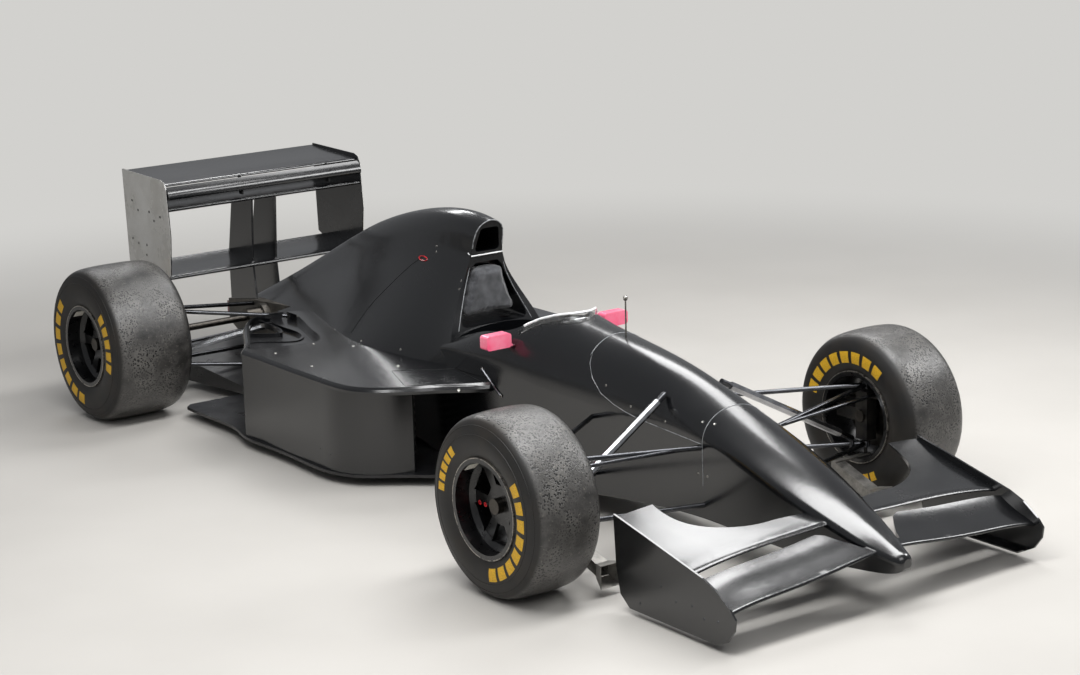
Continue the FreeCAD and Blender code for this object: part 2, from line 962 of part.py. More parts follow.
flap_rows = table("wing_flap")
flap_solid = wing_through(
    flap_rows, size("flap_nose_station"), size("flap_tail_station"),
    size("flap_thickness"), size("flap_camber"),
)
scoop_spots = outline_of("flap_scoop", "station", "half_width")
beyond_half = flap_rows[-1]["half_width"] - size("flap_thickness")
behind_station = size("flap_tail_station") + size("flap_thickness")
scoop_wire = plan_wire([
    scoop_spots,
    [scoop_spots[-1], (scoop_spots[-1][0], beyond_half)],
    [(scoop_spots[-1][0], beyond_half), (behind_station, beyond_half)],
    [(behind_station, beyond_half), (behind_station, scoop_spots[0][1])],
    [(behind_station, scoop_spots[0][1]), scoop_spots[0]],
], 0)
scooped_away = Part.Face(scoop_wire).extrude(z_axis * wide)
flap = biggest(flap_solid.cut(scooped_away).cut(nose))

# The fence stands on the flap, so it is cut from a tall strip between the flap and its copy above.
fence_spots = outline_of("flap_fence", "station", "half_width")
fence_outer = spline_through([place(half, station, 0) for station, half in fence_spots])
fence_inner = spline_through([
    place(half + size("fence_thickness"), station, 0) for station, half in fence_spots
])
fence_face = Part.makeRuledSurface(fence_outer, fence_inner)
fence_strip = fence_face.extrude(z_axis * wide)
lifted_flap = flap_solid.copy()
lifted_flap.translate(z_axis * size("fence_height"))
fence = fence_strip.common(lifted_flap).cut(flap_solid)
flap = flap.fuse(fence)
add_both("front_flaps", biggest(flap))

endplate = plate_along_x(
    outline_of("front_endplate", "station", "height"),
    size("front_wing_half"), size("front_wing_half") + size("front_endplate_thickness"),
)
plate_low = min(height for station, height in outline_of("front_endplate", "station", "height"))
foot_stations = [
    station for station, height in outline_of("front_endplate", "station", "height")
    if height == plate_low
]
foot = box_between(
    place(size("front_wing_half") - size("foot_width"), foot_stations[0], plate_low),
    place(size("front_wing_half"), foot_stations[-1], plate_low + size("foot_thickness")),
)
add_both("front_endplates", endplate.fuse(foot))


# Engine cover with the air intake and the headrest recess in its front.
def cover_wire(row, inset):
    station = row["station"]
    pairs = [
        (row["base_half"] - inset, row["base"]),
        (row["lower_half"] - inset, row["lower_height"]),
        (row["middle_half"] - inset, row["middle_height"] - inset / 2),
        (row["upper_half"] - inset, row["upper_height"] - inset / 2),
        (row["ridge_half"] - inset, row["ridge_height"] - inset),
        (0.0, row["top"] - inset),
    ]
    left_side = [place(across, station, height) for across, height in pairs]
    right_side = [place(-across, station, height) for across, height in reversed(pairs[:-1])]
    spots = left_side + right_side
    return Part.Wire([spline_through(spots), Part.makeLine(spots[-1], spots[0])])


# An edge whose direction has at least this share along the car runs lengthwise.
lengthwise_share = 0.9


def prism_along_y(corners, front_station, rear_station, corner_radius):
    face = polygon_face([place(across, front_station, height) for across, height in corners])
    solid = face.extrude(place(0, rear_station, 0) - place(0, front_station, 0))
    long_edges = [
        edge for edge in solid.Edges
        if abs(edge.tangentAt(edge.FirstParameter).y) > lengthwise_share
    ]
    return solid.makeFillet(corner_radius, long_edges)


def trapezoid(prefix):
    return [
        (-size(prefix + "_bottom_half"), size(prefix + "_bottom_height")),
        (size(prefix + "_bottom_half"), size(prefix + "_bottom_height")),
        (size(prefix + "_top_half"), size(prefix + "_top_height")),
        (-size(prefix + "_top_half"), size(prefix + "_top_height")),
    ]


cover_rows = table("cover")
cover_solid = Part.makeLoft([cover_wire(row, 0.0) for row in cover_rows], True, False)
front_spots = [place(-wide, station, height) for station, height in outline_of(
    "cover_front", "station", "height",
)]
ahead_y = place(0, size("cockpit_edge_station_row0"), 0).y
front_low = FreeCAD.Vector(-wide, ahead_y, front_spots[0].z)
front_high = FreeCAD.Vector(-wide, ahead_y, front_spots[-1].z)
front_face = Part.Face(Part.Wire([
    spline_through(front_spots),
    Part.makeLine(front_spots[-1], front_high),
    Part.makeLine(front_high, front_low),
    Part.makeLine(front_low, front_spots[0]),
]))
cover_solid = cover_solid.cut(front_face.extrude(x_axis * (2 * wide)))
inner_rows = [blended_row(cover_rows, size("cover_hollow_station"))]
inner_rows += [dict(row) for row in cover_rows[1:-2]]
for row in inner_rows:
    row["base"] = row["base"] - size("cover_wall")
cover_hollow = Part.makeLoft(
    [cover_wire(row, size("cover_wall")) for row in inner_rows], True, False,
)
mouth = prism_along_y(
    trapezoid("mouth"), size("mouth_front_station"), size("mouth_rear_station"),
    size("mouth_corner_radius"),
)
recess = prism_along_y(
    trapezoid("recess"), size("mouth_front_station"), size("recess_rear_station"),
    size("recess_corner_radius"),
)
cover_shell = cover_solid.cut(cover_hollow).cut(mouth).cut(recess).cut(skin)
add_shape("engine_cover", biggest(cover_shell))

# Sidepods: an upright side wall under a deck whose lip overhangs the inlet.
side_spots = outline_of("pod_side", "station", "half_width")
wall_taper_share = 0.3
inner_side_spots = [
    (station + size("pod_wall") * wall_taper_share, half_width - size("pod_wall"))
    for station, half_width in side_spots
]
inner_side_spots[-1] = (side_spots[-1][0], inner_side_spots[-1][1])
wall_base = size("ride_height") + size("floor_thickness")
wall_wire = plan_wire([
    side_spots,
    [side_spots[-1], inner_side_spots[-1]],
    list(reversed(inner_side_spots)),
    [inner_side_spots[0], side_spots[0]],
], wall_base)
wall_rise = size("pod_wall_top") + size("pod_wall") - wall_base
pod_wall = Part.Face(wall_wire).extrude(z_axis * wall_rise)

deck_spots = outline_of("pod_deck", "station", "half_width")
tail_spots = outline_of("pod_tail", "station", "half_width")


# A lip that goes in by its width goes less far along the car.
lip_along_share = 0.4


def deck_ring(lip, height, rise):
    along = lip * lip_along_share
    outer = [(station + along, half_width - lip) for station, half_width in deck_spots]
    tail = [(station - along, half_width - lip) for station, half_width in tail_spots]
    inner = [(tail[-1][0], size("deck_inner_half")), (outer[0][0], size("deck_inner_half"))]
    runs = [outer, [outer[-1], tail[0]], tail, [tail[-1], inner[0]], inner, [inner[1], outer[0]]]
    widest = max(half_width for station, half_width in deck_spots)
    edges = []
    for run in runs:
        spots = [
            place(half_width, station, height + rise * (widest - half_width) / widest)
            for station, half_width in run
        ]
        edges.append(
            Part.makeLine(spots[0], spots[1]) if len(spots) == 2 else spline_through(spots)
        )
    return Part.Wire(edges)


# From the underside up to the top: how far each ring is drawn in and how much it rises
# towards the tub, as shares of the lip and of the deck's whole rise.
lip_in_share = 0.4
lip_up_share = 0.6
deck_rise_shares = (0.5, 0.6, 0.8, 1.0)
deck_steps = [
    (0.0, size("pod_wall_top")),
    (0.0, size("deck_edge_height")),
    (size("deck_lip") * lip_in_share,
     size("deck_edge_height") + size("deck_lip") * lip_up_share),
    (size("deck_lip"), size("deck_top_height")),
]
deck_rings = [
    deck_ring(lip, height, size("deck_rise") * rise_share)
    for (lip, height), rise_share in zip(deck_steps, deck_rise_shares)
]
deck = Part.makeLoft(deck_rings, True, True)
outlet_spots = outline_of("pod_outlet", "station", "half_width")
rim_spots = [
    (station - size("outlet_rim") * lip_along_share, half_width - size("outlet_rim"))
    for station, half_width in tail_spots[:-1]
]
outlet_wire = plan_wire([
    outlet_spots,
    [outlet_spots[-1], rim_spots[-1]],
    list(reversed(rim_spots)),
    [rim_spots[0], outlet_spots[0]],
], 0)
outlet = Part.Face(outlet_wire).extrude(z_axis * wide)


# A slat stands askew, so its thickness is split into a way across and one along the car.
slat_across_share = 0.7
slat_along_share = 1.3


def slat(table_name):
    spots = outline_of(table_name, "station", "half_width")
    outer = spline_through([place(half, station, size("slat_base")) for station, half in spots])
    inner = spline_through([
        place(
            half + size("slat_thickness") * slat_across_share,
            station + size("slat_thickness") * slat_along_share, size("slat_base"),
        )
        for station, half in spots
    ])
    return Part.makeRuledSurface(outer, inner).extrude(z_axis * size("slat_height"))


def within_slat(table_name):
    spots = outline_of(table_name, "station", "half_width")
    beyond = size("terrace_limit_station")
    last_corner = (beyond, spots[-1][1])
    first_corner = (beyond, spots[0][1])
    wire = plan_wire([
        spots, [spots[-1], last_corner], [last_corner, first_corner], [first_corner, spots[0]],
    ], 0)
    return Part.Face(wire).extrude(z_axis * wide)


def terrace(low):
    layer = slab(front_limit_y, rear_limit_y, low, low + size("terrace_thickness"))
    return outlet.common(layer)


trim_ring = deck_ring(size("outlet_rim") * half_share, size("slat_base") * half_share, 0.0)
tail_zone = Part.Face(trim_ring).extrude(z_axis * wide)
slats = [slat(name).common(tail_zone) for name in ("outer_slat", "inner_slat")]
outer_terrace = terrace(size("outer_terrace_height")).cut(within_slat("outer_slat"))
inner_terrace = terrace(size("inner_terrace_height")).common(within_slat("outer_slat"))
inner_terrace = inner_terrace.cut(within_slat("inner_slat"))
pod = deck.cut(outlet).multiFuse([pod_wall, outer_terrace, inner_terrace] + slats)
pod = pod.cut(skin).cut(cover_solid)
add_pair("sidepod", biggest(pod))

# Floor plate and diffuser.
edge_spots = outline_of("floor_edge", "station", "half_width")
corner_spots = [edge_spots[-1]] + outline_of("floor_tail", "station", "half_width")
right_edge = [(station, -half_width) for station, half_width in reversed(edge_spots)]
right_corners = [(station, -half_width) for station, half_width in reversed(corner_spots)]
floor_runs = [edge_spots]
floor_runs += [list(pair) for pair in zip(corner_spots, corner_spots[1:])]
floor_runs += [list(pair) for pair in zip(right_corners, right_corners[1:])]
floor_runs += [right_edge, [right_edge[-1], edge_spots[0]]]
floor_plate = Part.Face(plan_wire(floor_runs, size("ride_height")))
add_shape("floor", floor_plate.extrude(z_axis * size("floor_thickness")))

ramp_front = size("diffuser_front_station")
ramp_rear = size("diffuser_rear_station")
ramp_low = size("ride_height")
ramp_high = ramp_low + size("diffuser_rise")
ramp = polygon_face([
    place(-size("diffuser_half_front"), ramp_front, ramp_low),
    place(size("diffuser_half_front"), ramp_front, ramp_low),
    place(size("diffuser_half_rear"), ramp_rear, ramp_high),
    place(-size("diffuser_half_rear"), ramp_rear, ramp_high),
]).extrude(z_axis * size("diffuser_thickness"))
strake_shares = (-1.0, -0.45, 0.45, 1.0)
strakes = []
for share in strake_shares:
    front_x = share * size("diffuser_half_front")
    rear_x = share * size("diffuser_half_rear")
    outline = [
        place(front_x, ramp_front, ramp_low),
        place(rear_x, ramp_rear, ramp_high),
        place(rear_x, ramp_rear, ramp_low),
    ]
    side_step = math.copysign(size("strake_thickness"), -share)
    strakes.append(polygon_face(outline).extrude(x_axis * side_step))
add_shape("diffuser", ramp.multiFuse(strakes))

# Engine, gearbox, radiators, rear light.
engine = document.addObject("Part::Box", "engine_block")
engine.setExpression("Length", "2 * Sizes.engine_half_width")
engine.setExpression("Width", (
    "(Sizes.engine_rear_station - Sizes.engine_front_station)"
    " * Sizes.wheelbase / Sizes.drawn_wheelbase"
))
engine.setExpression("Height", "Sizes.engine_top - Sizes.engine_bottom")
engine.Placement.Base = place(
    -size("engine_half_width"), size("engine_front_station"), size("engine_bottom")
)
engine.Label = "engine_block"
nodes["engine_block"] = engine


def box_wire(row):
    half = row["half_width"]
    corners = (
        (-half, row["bottom"]), (half, row["bottom"]), (half, row["top"]), (-half, row["top"]),
    )
    spots = [place(across, row["station"], height) for across, height in corners]
    return Part.makePolygon(spots + [spots[0]])


def across_cylinder(radius, half_length, gap):
    start = place(gap - half_length, rear_axle_station, size("rear_tyre_radius"))
    return Part.makeCylinder(radius, 2 * (half_length - gap), start, x_axis)


# The final drive stands wider than the joint boots beside it, and clears them on both sides.
boot_gap = size("rod_eye_gap")
drive_share = 1.3
boot_gaps_share = 2
shaft_half = size("driveshaft_inner_half")
gearbox = Part.makeLoft([box_wire(row) for row in table("gearbox")], True, True)
around_shaft = across_cylinder(size("joint_boot_radius") + boot_gap, wide, 0.0)
final_drive_radius = size("joint_boot_radius") * drive_share
final_drive = across_cylinder(final_drive_radius, shaft_half, boot_gaps_share * boot_gap)
gearbox = gearbox.cut(around_shaft.cut(final_drive)).fuse(final_drive)
gearbox = biggest(gearbox.cut(cover_solid))
add_shape("gearbox", gearbox)

radiator_low = place(
    size("radiator_inner_half"), size("radiator_station"), size("radiator_bottom")
)
add_both("radiators", Part.makeBox(
    size("radiator_width"), size("radiator_thickness"), size("radiator_height"), radiator_low,
))

light_low = place(
    -size("rain_light_width") / 2, size("diffuser_rear_station"), size("rain_light_bottom")
)
add_shape("rain_light", Part.makeBox(
    size("rain_light_width"), size("rain_light_depth"), size("rain_light_height"), light_low,
))

# Rear wing: two upper elements and a beam between end plates, on a pair of pylons.
wing_half = size("rear_wing_half")
top_flap = wing_element(
    "top_flap", wing_half, size("top_flap_thickness"), size("top_flap_camber"),
)
slat_plane = wing_element(
    "slat_plane", wing_half, size("slat_plane_thickness"), size("slat_plane_camber"),
)
lower_element = wing_element(
    "lower_element", wing_half, size("lower_element_thickness"), size("wing_camber"),
)
beam = wing_element("beam", wing_half, size("beam_thickness"), size("wing_camber"))
add_both("rear_endplates", plate_along_x(
    outline_of("rear_endplate", "station", "height"),
    wing_half, wing_half + size("rear_endplate_thickness"),
))
pylon = plate_along_x(
    outline_of("pylon", "station", "height"),
    size("pylon_half_gap") - size("pylon_thickness") / 2,
    size("pylon_half_gap") + size("pylon_thickness") / 2,
)
for blocker in (beam, lower_element, gearbox, cover_solid):
    pylon = pylon.cut(blocker)
add_shape("rear_wing_flap", Part.makeCompound([top_flap, slat_plane]))
add_shape("rear_wing_main", lower_element)
add_both("rear_wing_pylon", pylon)
add_shape("rear_beam_wing", beam)

# Headrest, seat and controls.
pad = prism_along_y(
    trapezoid("pad"), size("pad_front_station"), size("recess_rear_station"),
    size("pad_corner_radius"),
)
add_shape("headrest_pad", pad)
add_shape("seat", plate_along_x(
    outline_of("seat", "station", "height"), -size("seat_half_width"), size("seat_half_width"),
))

tilt = size("steering_wheel_tilt_deg")
wheel_middle = place(0, size("steering_wheel_station"), size("steering_wheel_height"))
wheel_rim = Part.makeTorus(size("steering_wheel_radius"), size("steering_rim_radius"))
hub_half = size("steering_hub_thickness") * half_share
hub_disc = Part.makeCylinder(
    size("steering_hub_radius"), size("steering_hub_thickness"), z_axis * -hub_half,
)
spokes = []
spoke_angles = (0.0, 180.0, 270.0)
spoke_width = size("steering_hub_radius")
spoke_thickness = hub_half
for spoke_angle in spoke_angles:
    spoke = Part.makeBox(
        size("steering_wheel_radius"), spoke_width, spoke_thickness,
        FreeCAD.Vector(0, -spoke_width * half_share, -spoke_thickness * half_share),
    )
    spoke.rotate(FreeCAD.Vector(), z_axis, spoke_angle)
    spokes.append(spoke)
column_share = 0.25
column_length = size("wheelbase") * column_share
column = Part.makeCylinder(size("column_radius"), column_length, z_axis * -column_length)
control = wheel_rim.multiFuse([hub_disc, column] + spokes)
control.rotate(FreeCAD.Vector(), x_axis, -tilt)
control.translate(wheel_middle)
control = control.common(cavity.fuse(opening))
add_shape("steering_wheel", biggest(control))

# Screen, mirrors, pitot.
screen_rows = table("screen")


def screen_rail(column):
    left = [place(row["half_width"], row["station"], row[column]) for row in screen_rows]
    right = [FreeCAD.Vector(-spot.x, spot.y, spot.z) for spot in reversed(left[1:])]
    return spline_through(right + left)


screen = Part.makeRuledSurface(screen_rail("bottom"), screen_rail("top"))
screen = screen.extrude(y_axis * size("screen_thickness")).cut(skin)
add_shape("windscreen", biggest(screen))

mirror_low = place(
    size("mirror_half_gap"), size("mirror_station"),
    size("mirror_centre_height") - size("mirror_height") / 2,
)
mirror = Part.makeBox(
    size("mirror_width"), size("mirror_depth"), size("mirror_height"), mirror_low,
)
mirror = mirror.makeFillet(
    size("mirror_round"),
    [
        edge for edge in mirror.Edges
        if abs(edge.tangentAt(edge.FirstParameter).y) > lengthwise_share
    ],
)
stalk_top = place(
    size("mirror_half_gap") + size("mirror_round"), size("mirror_station") + size("mirror_round"),
    size("mirror_centre_height"),
)
stalk_foot = FreeCAD.Vector(
    size("mirror_stalk_inner_half"), stalk_top.y, stalk_top.z - size("mirror_stalk_drop")
)
mirror = mirror.fuse(rod(stalk_foot, stalk_top, size("mirror_stalk_radius"))).cut(skin)
add_both("mirrors", biggest(mirror))

pitot_foot = blended_row(tub_rows, size("pitot_station"))["top"]
mast_low = place(0, size("pitot_station"), pitot_foot)
mast_high = mast_low + z_axis * size("pitot_height")
mast = rod(mast_low - z_axis * size("pitot_ball_radius"), mast_high, size("pitot_radius"))
mast = mast.fuse(Part.makeSphere(size("pitot_ball_radius"), mast_high))
add_shape("pitot", biggest(mast.cut(skin)))


# Wheels.

def tyre(node, spot, radius_name, half_name, tread_name, drop_name):
    corners = []
    for side in (-1, 1):
        half_side = [
            ({half_name: side, "bead_inset": -side}, {"bead_radius": 1}),
            ({half_name: side, "bead_inset": -side}, {"rim_flange_radius": 1}),
            ({half_name: side}, {"sidewall_low_radius": 1}),
            ({half_name: side}, {radius_name: 1, "sidewall_high_drop": -1}),
            ({tread_name: side}, {radius_name: 1, drop_name: -1}),
        ]
        corners += half_side if side < 0 else []
        if side < 0:
            for tread_share in (-half_share, half_share):
                corners.append(({tread_name: tread_share}, {radius_name: 1}))
        else:
            corners += list(reversed(half_side))
    body = revolved_body(node, corners)
    wanted = [(size(tread_name), size(radius_name) - size(drop_name))]
    walls = [
        (size(half_name), size("sidewall_low_radius")),
        (size(half_name), size(radius_name) - size("sidewall_high_drop")),
    ]
    for label, wanted_edges, round_name in (
        ("shoulder", wanted, "shoulder_round"), ("sidewall", walls, "sidewall_round"),
    ):
        base = body.Tip
        fillet = body.newObject("PartDesign::Fillet", node + "_" + label)
        fillet.Base = (base, circle_edges(base.Shape, wanted_edges))
        fillet.setExpression("Radius", "Sizes." + round_name)
        body.Tip = fillet
        document.recompute()
    return finish_body(node, body, spot)

def window_sketch(body, node):
    corners = [
        ({"rim_window_inner_half": -1}, {"rim_window_inner_radius": 1}),
        ({"rim_window_inner_half": 1}, {"rim_window_inner_radius": 1}),
        ({"rim_window_outer_half": 1}, {"rim_window_outer_radius": 1}),
        ({"rim_window_outer_half": -1}, {"rim_window_outer_radius": 1}),
    ]
    return outline_sketch(body, node + "_window", "YZ_Plane", corners)


window_count = 6


def rim(node, spot, half_name, outboard):
    barrel = {"rim_barrel_radius": 1}
    bead = {"bead_radius": 1}
    flange = {"rim_flange_radius": 1}
    ledge = {"rim_ledge_radius": 1}
    hub = {"rim_hub_radius": 1}
    bore = {"axle_radius": 1}
    out_edge = {half_name: outboard, "bead_inset": -outboard}
    in_edge = {half_name: -outboard, "bead_inset": outboard}
    out_lip = dict(out_edge, rim_flange_thickness=outboard)
    in_lip = dict(in_edge, rim_flange_thickness=-outboard)
    face_out = dict(out_edge, rim_face_inset=-outboard)
    ledge_out = dict(face_out, rim_dish_depth=outboard)
    face_in = dict(face_out, rim_face_thickness=-outboard)
    hub_in = dict(face_in, rim_hub_depth=-outboard)
    corners = [
        (face_out, bore),
        (face_out, hub),
        (face_out, ledge),
        (ledge_out, barrel),
        (out_lip, barrel),
        (out_lip, flange),
        (out_edge, flange),
        (out_edge, bead),
        (in_edge, bead),
        (in_edge, flange),
        (in_lip, flange),
        (in_lip, barrel),
        (face_in, barrel),
        (face_in, hub),
        (hub_in, hub),
        (hub_in, bore),
    ]
    body = revolved_body(node, corners)
    pocket = body.newObject("PartDesign::Pocket", node + "_pocket")
    pocket.Profile = window_sketch(body, node)
    pocket.Type = "ThroughAll"
    pocket.Midplane = True
    pattern = body.newObject("PartDesign::PolarPattern", node + "_windows")
    pattern.Originals = [pocket]
    pattern.Axis = (origin_feature(body, "X_Axis"), [""])
    pattern.Angle = 360.0
    pattern.Occurrences = window_count
    body.Tip = pattern
    document.recompute()
    return finish_body(node, body, spot)


wheel_spots = {}
for side_name, side in sides.items():
    wheel_spots["front_" + side_name] = place(
        side * size("front_track_half"), 0, size("front_tyre_radius")
    )
    wheel_spots["rear_" + side_name] = place(
        side * size("rear_track_half"), rear_axle_station, size("rear_tyre_radius")
    )
for wheel_name, spot in wheel_spots.items():
    end, side_name = wheel_name.split("_")
    tyre(
        "%s_tyre_%s" % (end, side_name), spot, end + "_tyre_radius", end + "_tyre_half_width",
        end + "_tread_half_width", end + "_shoulder_drop",
    )
    rim("%s_rim_%s" % (end, side_name), spot, end + "_tyre_half_width", sides[side_name])


def hub_shape(end):
    spot = wheel_spots[end + "_left"]
    rim_half = size(end + "_tyre_half_width") - size("bead_inset")
    face = spot + x_axis * (rim_half - size("rim_face_inset"))
    hub_end = face - x_axis * (size("rim_face_thickness") + size("rim_hub_depth"))
    disc_start = spot - x_axis * size(end + "_disc_offset")
    axle_end = spot - x_axis * size(end + "_axle_reach")
    nut = rod(face, face + x_axis * size("wheel_nut_length"), size("wheel_nut_radius"))
    disc_end = disc_start + x_axis * size("disc_thickness")
    pieces = [
        rod(disc_start, disc_end, size("disc_radius")),
        rod(disc_end, hub_end, size("disc_bell_radius")),
        rod(axle_end, face, size("axle_radius")),
    ]
    if end == "rear":
        shaft_inner = place(size("driveshaft_inner_half"), rear_axle_station, spot.z)
        pieces.append(rod(shaft_inner, axle_end, size("driveshaft_radius")))
        pieces.append(rod(
            shaft_inner, shaft_inner + x_axis * size("joint_boot_length"),
            size("joint_boot_radius"),
        ))
    return nut.multiFuse(pieces)


for end in ("front", "rear"):
    add_pair(end + "_hub", hub_shape(end))


# Uprights carry the axle and a brake caliper that straddles the disc.
def upright_block(end, block_x, low, high):
    spot = wheel_spots[end + "_left"]
    half_long = size("upright_half_length")
    half_thick = size("upright_half_thickness")
    block = box_between(
        FreeCAD.Vector(block_x - half_thick, spot.y - half_long, low),
        FreeCAD.Vector(block_x + half_thick, spot.y + half_long, high),
    )
    disc_middle = spot.x - size(end + "_disc_offset") + size("disc_thickness") / 2
    half_caliper = size("caliper_half_height")
    caliper = box_between(
        FreeCAD.Vector(
            disc_middle - size("caliper_half_width"), spot.y + size("caliper_near"),
            spot.z - half_caliper,
        ),
        FreeCAD.Vector(
            disc_middle + size("caliper_half_width"), spot.y + size("caliper_far"),
            spot.z + half_caliper,
        ),
    )
    slot_half = size("disc_thickness") / 2 + size("caliper_gap")
    slot = rod(
        FreeCAD.Vector(disc_middle - slot_half, spot.y, spot.z),
        FreeCAD.Vector(disc_middle + slot_half, spot.y, spot.z),
        size("disc_radius") + size("caliper_gap"),
    )
    caliper_inner = disc_middle - slot_half
    foot = box_between(
        FreeCAD.Vector(block_x - half_thick, spot.y, spot.z - size("caliper_foot_half")),
        FreeCAD.Vector(caliper_inner, spot.y + size("caliper_far"), spot.z + size("caliper_foot_half")),
    )
    hole_half = FreeCAD.Vector(wide, 0, 0)
    hole = rod(spot - hole_half, spot + hole_half, size("axle_radius") + size("axle_clearance"))
    return block.multiFuse([caliper.cut(slot), foot]).cut(hole)


front_spot = wheel_spots["front_left"]
knuckle_x = size("kingpin_half")
upper_ball = FreeCAD.Vector(knuckle_x, front_spot.y, size("front_upper_ball_height"))
lower_ball = FreeCAD.Vector(knuckle_x, front_spot.y, size("front_lower_ball_height"))
housing_half = size("ball_housing_half_height")
block_low = lower_ball.z + housing_half + size("upright_end_gap")
block_high = upper_ball.z - housing_half - size("upright_end_gap")
knuckle = upright_block("front", knuckle_x, block_low, block_high)
stud_low = FreeCAD.Vector(knuckle_x, front_spot.y, size("duct_bracket_height"))
stud_high = upper_ball + z_axis * housing_half
arm_root = FreeCAD.Vector(
    knuckle_x, front_spot.y - size("upright_half_length") / 2, size("steering_arm_root_height")
)
arm_tip = FreeCAD.Vector(
    knuckle_x, front_spot.y - size("steering_arm_reach"), size("steering_arm_height")
)
# Each stud runs on into the block, as far as its housing is high.
stud_root = z_axis * (2 * housing_half)
knuckle = knuckle.multiFuse([
    rod(stud_low, lower_ball + stud_root, size("kingpin_radius")),
    rod(upper_ball - stud_root, stud_high, size("kingpin_radius")),
    rod(arm_root, arm_tip, size("steering_arm_radius")),
])
add_pair("front_upright", biggest(knuckle))
add_both("rear_uprights", upright_block(
    "rear", size("rear_upper_ball_half_width"),
    size("rear_lower_ball_height"), size("rear_upper_ball_height"),
))

# Brake cooling ducts hang from the front uprights by their lower pins.
duct_path = (("duct_front_station", "duct_front_height"), ("duct_rear_station", "duct_rear_height"))


def duct_block(inset):
    half = size("duct_half_height") - inset
    ends = [(size(station), size(height)) for station, height in duct_path]
    outline = [(station, height - half) for station, height in ends]
    outline += [(station, height + half) for station, height in reversed(ends)]
    return plate_along_x(outline, size("duct_inner_half") + inset, size("duct_outer_half") - inset)


bracket_half = 2 * size("kingpin_radius")
bracket = box_between(
    FreeCAD.Vector(
        size("duct_inner_half"), front_spot.y - bracket_half,
        size("duct_bracket_height") - size("duct_bracket_thickness"),
    ),
    FreeCAD.Vector(
        knuckle_x + bracket_half, front_spot.y + bracket_half, size("duct_bracket_height"),
    ),
)
duct_shell = duct_block(0.0).cut(duct_block(size("duct_wall")))
add_pair("brake_duct", biggest(bracket.fuse(duct_shell)))


# Suspension members. Front legs end in housings around the kingpin's studs.
def housing(centre):
    return upright_cylinder(centre, size("ball_housing_radius"), housing_half)


leg_radius = size("wishbone_radius")
pin_bore = rod(
    FreeCAD.Vector(knuckle_x, front_spot.y, 0),
    FreeCAD.Vector(knuckle_x, front_spot.y, wide),
    size("kingpin_radius") + size("kingpin_clearance"),
)
push_outer = named_point("front_push_outer")
track_end_rise = size("steering_arm_radius") + size("track_rod_radius") + size("track_rod_end_gap")
track_end = arm_tip + z_axis * track_end_rise
front_members = [
    rod(named_point("front_upper_fore"), upper_ball, leg_radius),
    rod(named_point("front_upper_aft"), upper_ball, leg_radius),
    housing(upper_ball),
    rod(named_point("front_lower_fore"), lower_ball, leg_radius),
    rod(named_point("front_lower_aft"), lower_ball, leg_radius),
    housing(lower_ball),
    rod(push_outer, named_point("front_push_inner"), size("pushrod_radius")),
    rod(FreeCAD.Vector(push_outer.x, push_outer.y, lower_ball.z - leg_radius), push_outer, leg_radius),
    rod(named_point("front_track_inner"), track_end, size("track_rod_radius")),
]
front_set = front_members[0].multiFuse(front_members[1:]).cut(skin).cut(pin_bore)
middle_x = size("front_push_outer_half_width") / 2
add_pair("front_suspension", Part.makeCompound(
    [solid for solid in front_set.Solids if solid.BoundBox.XMax > middle_x]
))

rear_upright = nodes["rear_uprights"].Shape
rear_members = [
    rod(named_point("rear_upper_fore"), named_point("rear_upper_ball"), leg_radius),
    rod(named_point("rear_upper_aft"), named_point("rear_upper_ball"), leg_radius),
    rod(named_point("rear_lower_fore"), named_point("rear_lower_ball"), leg_radius),
    rod(named_point("rear_lower_aft"), named_point("rear_lower_ball"), leg_radius),
    rod(named_point("rear_toe_inner"), named_point("rear_toe_outer"), size("track_rod_radius")),
    rod(named_point("rear_push_outer"), named_point("rear_push_inner"), size("pushrod_radius")),
]
drive_clearance = across_cylinder(final_drive_radius + size("final_drive_gap"), shaft_half, boot_gap)
rear_set = rear_members[0].multiFuse(rear_members[1:])
rear_set = rear_set.cut(rear_upright).cut(drive_clearance).cut(gearbox).cut(cover_solid)
add_pair("rear_suspension", Part.makeCompound(
    [solid for solid in rear_set.Solids if solid.BoundBox.XMax > middle_x]
))

# Check and write.
document.recompute()
faults = []
for item in document.Objects:
    if "Invalid" in item.State or "Error" in item.State:
        faults.append("%s: %s" % (item.Name, item.State))
for node, item in nodes.items():
    shape = item.Shape
    if shape.isNull() or not shape.isValid() or not shape.Solids:
        faults.append("%s: bad shape" % node)
for fault in faults:
    print("FAULT", fault)
if faults:
    raise RuntimeError("the model has faults")

cubic_centimetre = 1000
os.makedirs("parts", exist_ok=True)
for node, item in nodes.items():
    item.Shape.exportStep("parts/%s.step" % node)
    box = item.Shape.optimalBoundingBox(False)
    print("%-24s solids %d  volume %9.0f cm3  x %6.0f %6.0f  y %6.0f %6.0f  z %6.0f %6.0f" % (
        node, len(item.Shape.Solids), item.Shape.Volume / cubic_centimetre,
        box.XMin, box.XMax, box.YMin, box.YMax, box.ZMin, box.ZMax,
    ))
print("nodes", len(nodes))
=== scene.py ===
import json
import math

import bmesh
import bpy
from mathutils import Matrix, Vector
from mathutils.bvhtree import BVHTree

